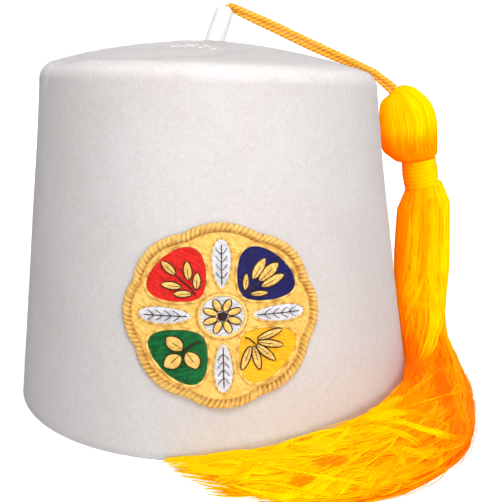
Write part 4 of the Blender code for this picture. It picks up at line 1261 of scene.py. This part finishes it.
def daisy(gold, brown):
    """The centre: eight small gold petals round a dark eye, on the white disc."""
    for k in range(DAISY_PETALS):
        turn = 2 * pi * k / DAISY_PETALS + pi / DAISY_PETALS
        middle = np.array((cos(turn), sin(turn))) * DAISY_RADIUS
        outline = oval_outline(middle, *DAISY_HALF_SIZES, turn)
        blade_fill(gold, outline, turn + radians(80))
        outline_thread(brown, outline, DAISY_EDGE, FIELD_LIFT + 0.0004)
    eye = oval_outline((0.0, 0.0), EYE_RADIUS, EYE_RADIUS, 0.0)
    stitched(brown, eye, 0.4, FIELD_LIFT + 0.0002, 0.0007, FINE_PITCH)


def petal(threads, gold, brown, colour, degrees, grain):
    """One coloured field with its gold edge and its plant."""
    outline = petal_outline(PETAL_START, PETAL_END, PETAL_HALF_WIDTH, radians(degrees))
    field = Shape()
    stitched(field, outline, radians(grain), GROUND_LIFT, FIELD_LIFT - GROUND_LIFT, PETAL_PITCH, PETAL_STITCH)
    finish = threads["petal_gold" if colour == "gold" else colour]
    field.piece(f"patch_petal_{colour}", finish, f"{colour}_thread", [f"petal_{colour}"])
    outline_thread(gold, outline, PETAL_EDGE, FIELD_LIFT, 0.80, ticks=36)
    motif(gold, brown, radians(degrees), *MOTIFS[colour])


def leaf(threads, gold, brown, name, degrees):
    """One white leaf with its gold edge, its vein and its ribs."""
    outline = petal_outline(LEAF_START, LEAF_END, LEAF_HALF_WIDTH, radians(degrees), points=36, fullness=0.3)
    field = Shape()
    stitched(field, outline, radians(degrees + 65), GROUND_LIFT, FIELD_LIFT - GROUND_LIFT + 0.0002)
    field.piece(f"patch_leaf_{name}", threads["white"], "white_thread", [f"leaf_{name}"])
    outline_thread(gold, outline, LEAF_EDGE, FIELD_LIFT, 0.7, ticks=18)
    way = np.array((cos(radians(degrees)), sin(radians(degrees))))
    side = np.array((-way[1], way[0]))
    line_thread(brown, [way * reach for reach in LEAF_VEIN], LEAF_MIDRIB, FIELD_LIFT + 0.0007)
    for reach in LEAF_RIBS:
        for hand in (-1, 1):
            steps = ((0.0, 0.0), (0.0010, 0.0011), (0.0024, 0.0019))  # ahead and to the side
            rib = [way * (reach + ahead) + side * out * hand for ahead, out in steps]
            line_thread(brown, rib, VEIN, FIELD_LIFT + 0.0006)


def patch(threads):
    """The round patch: ground, overcast edge, centre, petals and leaves, and the threads over them all."""
    ground, gold, brown, white = Shape(), Shape(), Shape(), Shape()
    edge = ring_outline(BORDER_WIDTH * 0.75, 160)
    stitched(ground, edge, radians(-38), 0.0004, GROUND_LIFT - 0.0001, GROUND_PITCH, GROUND_STITCH)
    ground.piece("patch_ground", threads["cream"], "cream_twill", ["patch_base"])
    border(threads["gold"])
    inside = ring_outline(BORDER_WIDTH + 0.0002)
    outline_thread(gold, inside, INNER_RING, GROUND_LIFT + 0.0002, 0.45, ticks=96)
    disc = oval_outline((0.0, 0.0), CENTRE_RADIUS, CENTRE_RADIUS, 0.0, points=64)
    stitched(white, disc, radians(12), GROUND_LIFT, FIELD_LIFT - GROUND_LIFT, stitch=DISC_STITCH)
    white.piece("patch_disc", threads["white"], "white_thread", ["patch_centre"])
    outline_thread(gold, disc, DISC_EDGE, FIELD_LIFT, 0.75)
    outline_thread(gold, disc * 1.10, DISC_RING, FIELD_LIFT - 0.0002, 0.5, ticks=24)
    daisy(gold, brown)
    for colour, degrees, grain in PETALS:
        petal(threads, gold, brown, colour, degrees, grain)
    for name, degrees in LEAVES.items():
        leaf(threads, gold, brown, name, degrees)
    gold.piece("patch_gold_motifs", threads["gold"], "gold_thread")
    brown.piece("patch_dark_outlines", threads["brown"], "gold_thread")


# ---- setting ----


def camera():
    """The camera at the fitted place."""
    data = bpy.data.cameras.new("camera")
    data.lens = CAMERA_LENS
    made = place_in_scene("camera", data)
    turn = Matrix.Rotation(CAMERA_LEFT, 4, "Z") @ Matrix.Rotation(pi / 2 - CAMERA_DOWN, 4, "X")
    made.matrix_world = Matrix.Translation(CAMERA_PLACE) @ turn @ Matrix.Rotation(CAMERA_ROLL, 4, "Z")
    bpy.context.scene.camera = made


def floor_finish():
    """Pale, and lit so that it shows white. It gives the hat less light than the camera sees on it."""
    pale = Finish("pale_floor", 0.8, Specular_IOR_Level=0.1, Emission_Color=(1, 1, 1, 1))
    seen = pale.node("LightPath").outputs["Is Camera Ray"]
    glow = pale.node("MapRange", Value=seen, To_Min=FLOOR_GLOW_ON_HAT, To_Max=FLOOR_GLOW_SEEN)
    pale.feed(pale.shader.inputs["Emission Strength"], glow.outputs["Result"])
    distance = pale.node("VectorMath", {"operation": "LENGTH"}, Vector=pale.place).outputs["Value"]
    away = pale.math("MULTIPLY", distance, 0.4)
    pale.colour(pale.ramp(away, (0.25, grey(0.45)), (0.60, grey(0.66))))
    return pale.material


def backdrop(finish):
    """A pale floor that curves up behind the hat."""
    rows = [(FLOOR_FRONT, 0.0), (-1.0, 0.0), (0.0, 0.0), (FLOOR_BACK, 0.0)]
    for i in range(1, 13):
        turn = pi / 2 * i / 12
        rows.append((FLOOR_BACK + FLOOR_BEND * sin(turn), FLOOR_BEND * (1 - cos(turn))))
    rows.append((FLOOR_BACK + FLOOR_BEND, WALL_TOP))
    points = [(x, y, z) for y, z in rows for x in (-FLOOR_HALF_WIDTH, FLOOR_HALF_WIDTH)]
    faces = [(2 * i, 2 * i + 1, 2 * i + 3, 2 * i + 2) for i in range(len(rows) - 1)]
    data = bpy.data.meshes.new("backdrop")
    data.from_pydata(points, [], faces)
    data.shade_smooth()
    data.materials.append(finish)
    place_in_scene("backdrop", data)


def lamp(name, place, size, watts, colour):
    """A round area light that faces the hat."""
    data = bpy.data.lights.new(name, "AREA")
    data.shape = "DISK"
    data.size = size
    data.energy = watts
    data.color = colour
    away = np.array(place) - np.array(LAMP_TARGET)
    axis_x = unit(np.cross((0, 0, 1), away))
    axis_y = unit(np.cross(away, axis_x))
    turn = Matrix(np.column_stack([axis_x, axis_y, unit(away)]).tolist()).to_4x4()
    place_in_scene(name, data).matrix_world = Matrix.Translation(place) @ turn


def studio():
    """A pale sky, the lamps and plain colours."""
    world = bpy.data.worlds.new("studio")
    world.use_nodes = True
    sky = world.node_tree.nodes["Background"]
    sky.inputs["Color"].default_value = (*WHITE, 1)
    sky.inputs["Strength"].default_value = SKY_STRENGTH
    bpy.context.scene.world = world
    for row in LAMPS:
        lamp(*row)
    bpy.context.scene.view_settings.view_transform = "Standard"


def main():
    """The setting, then the pieces. Their order settles the random numbers that each one gets."""
    camera()
    backdrop(floor_finish())
    studio()
    points, out = crown(felt_finish())
    felt_fuzz(points, out, fuzz_finish())
    top_stitches(thread_finish("white_stitches"))
    stem(stem_finish())
    cords(silk_finish("gold_cord", 0.5, 0.08))
    silk = silk_finish("yellow_silk")
    frames = TasselFrames()
    tassel_core(frames, silk_finish("silk_core", 0.7, 0.35))
    for made_of_silk in (tassel_strands, locks_on_top, wisps, flyaways):
        made_of_silk(frames, silk)
    tassel_head(silk)
    neck_wrap(silk)
    threads = {name: thread_finish(f"{name}_thread") for name in THREAD_NAMES}
    threads["cream"] = thread_finish("cream_twill", 0.55)
    patch(threads)


main()
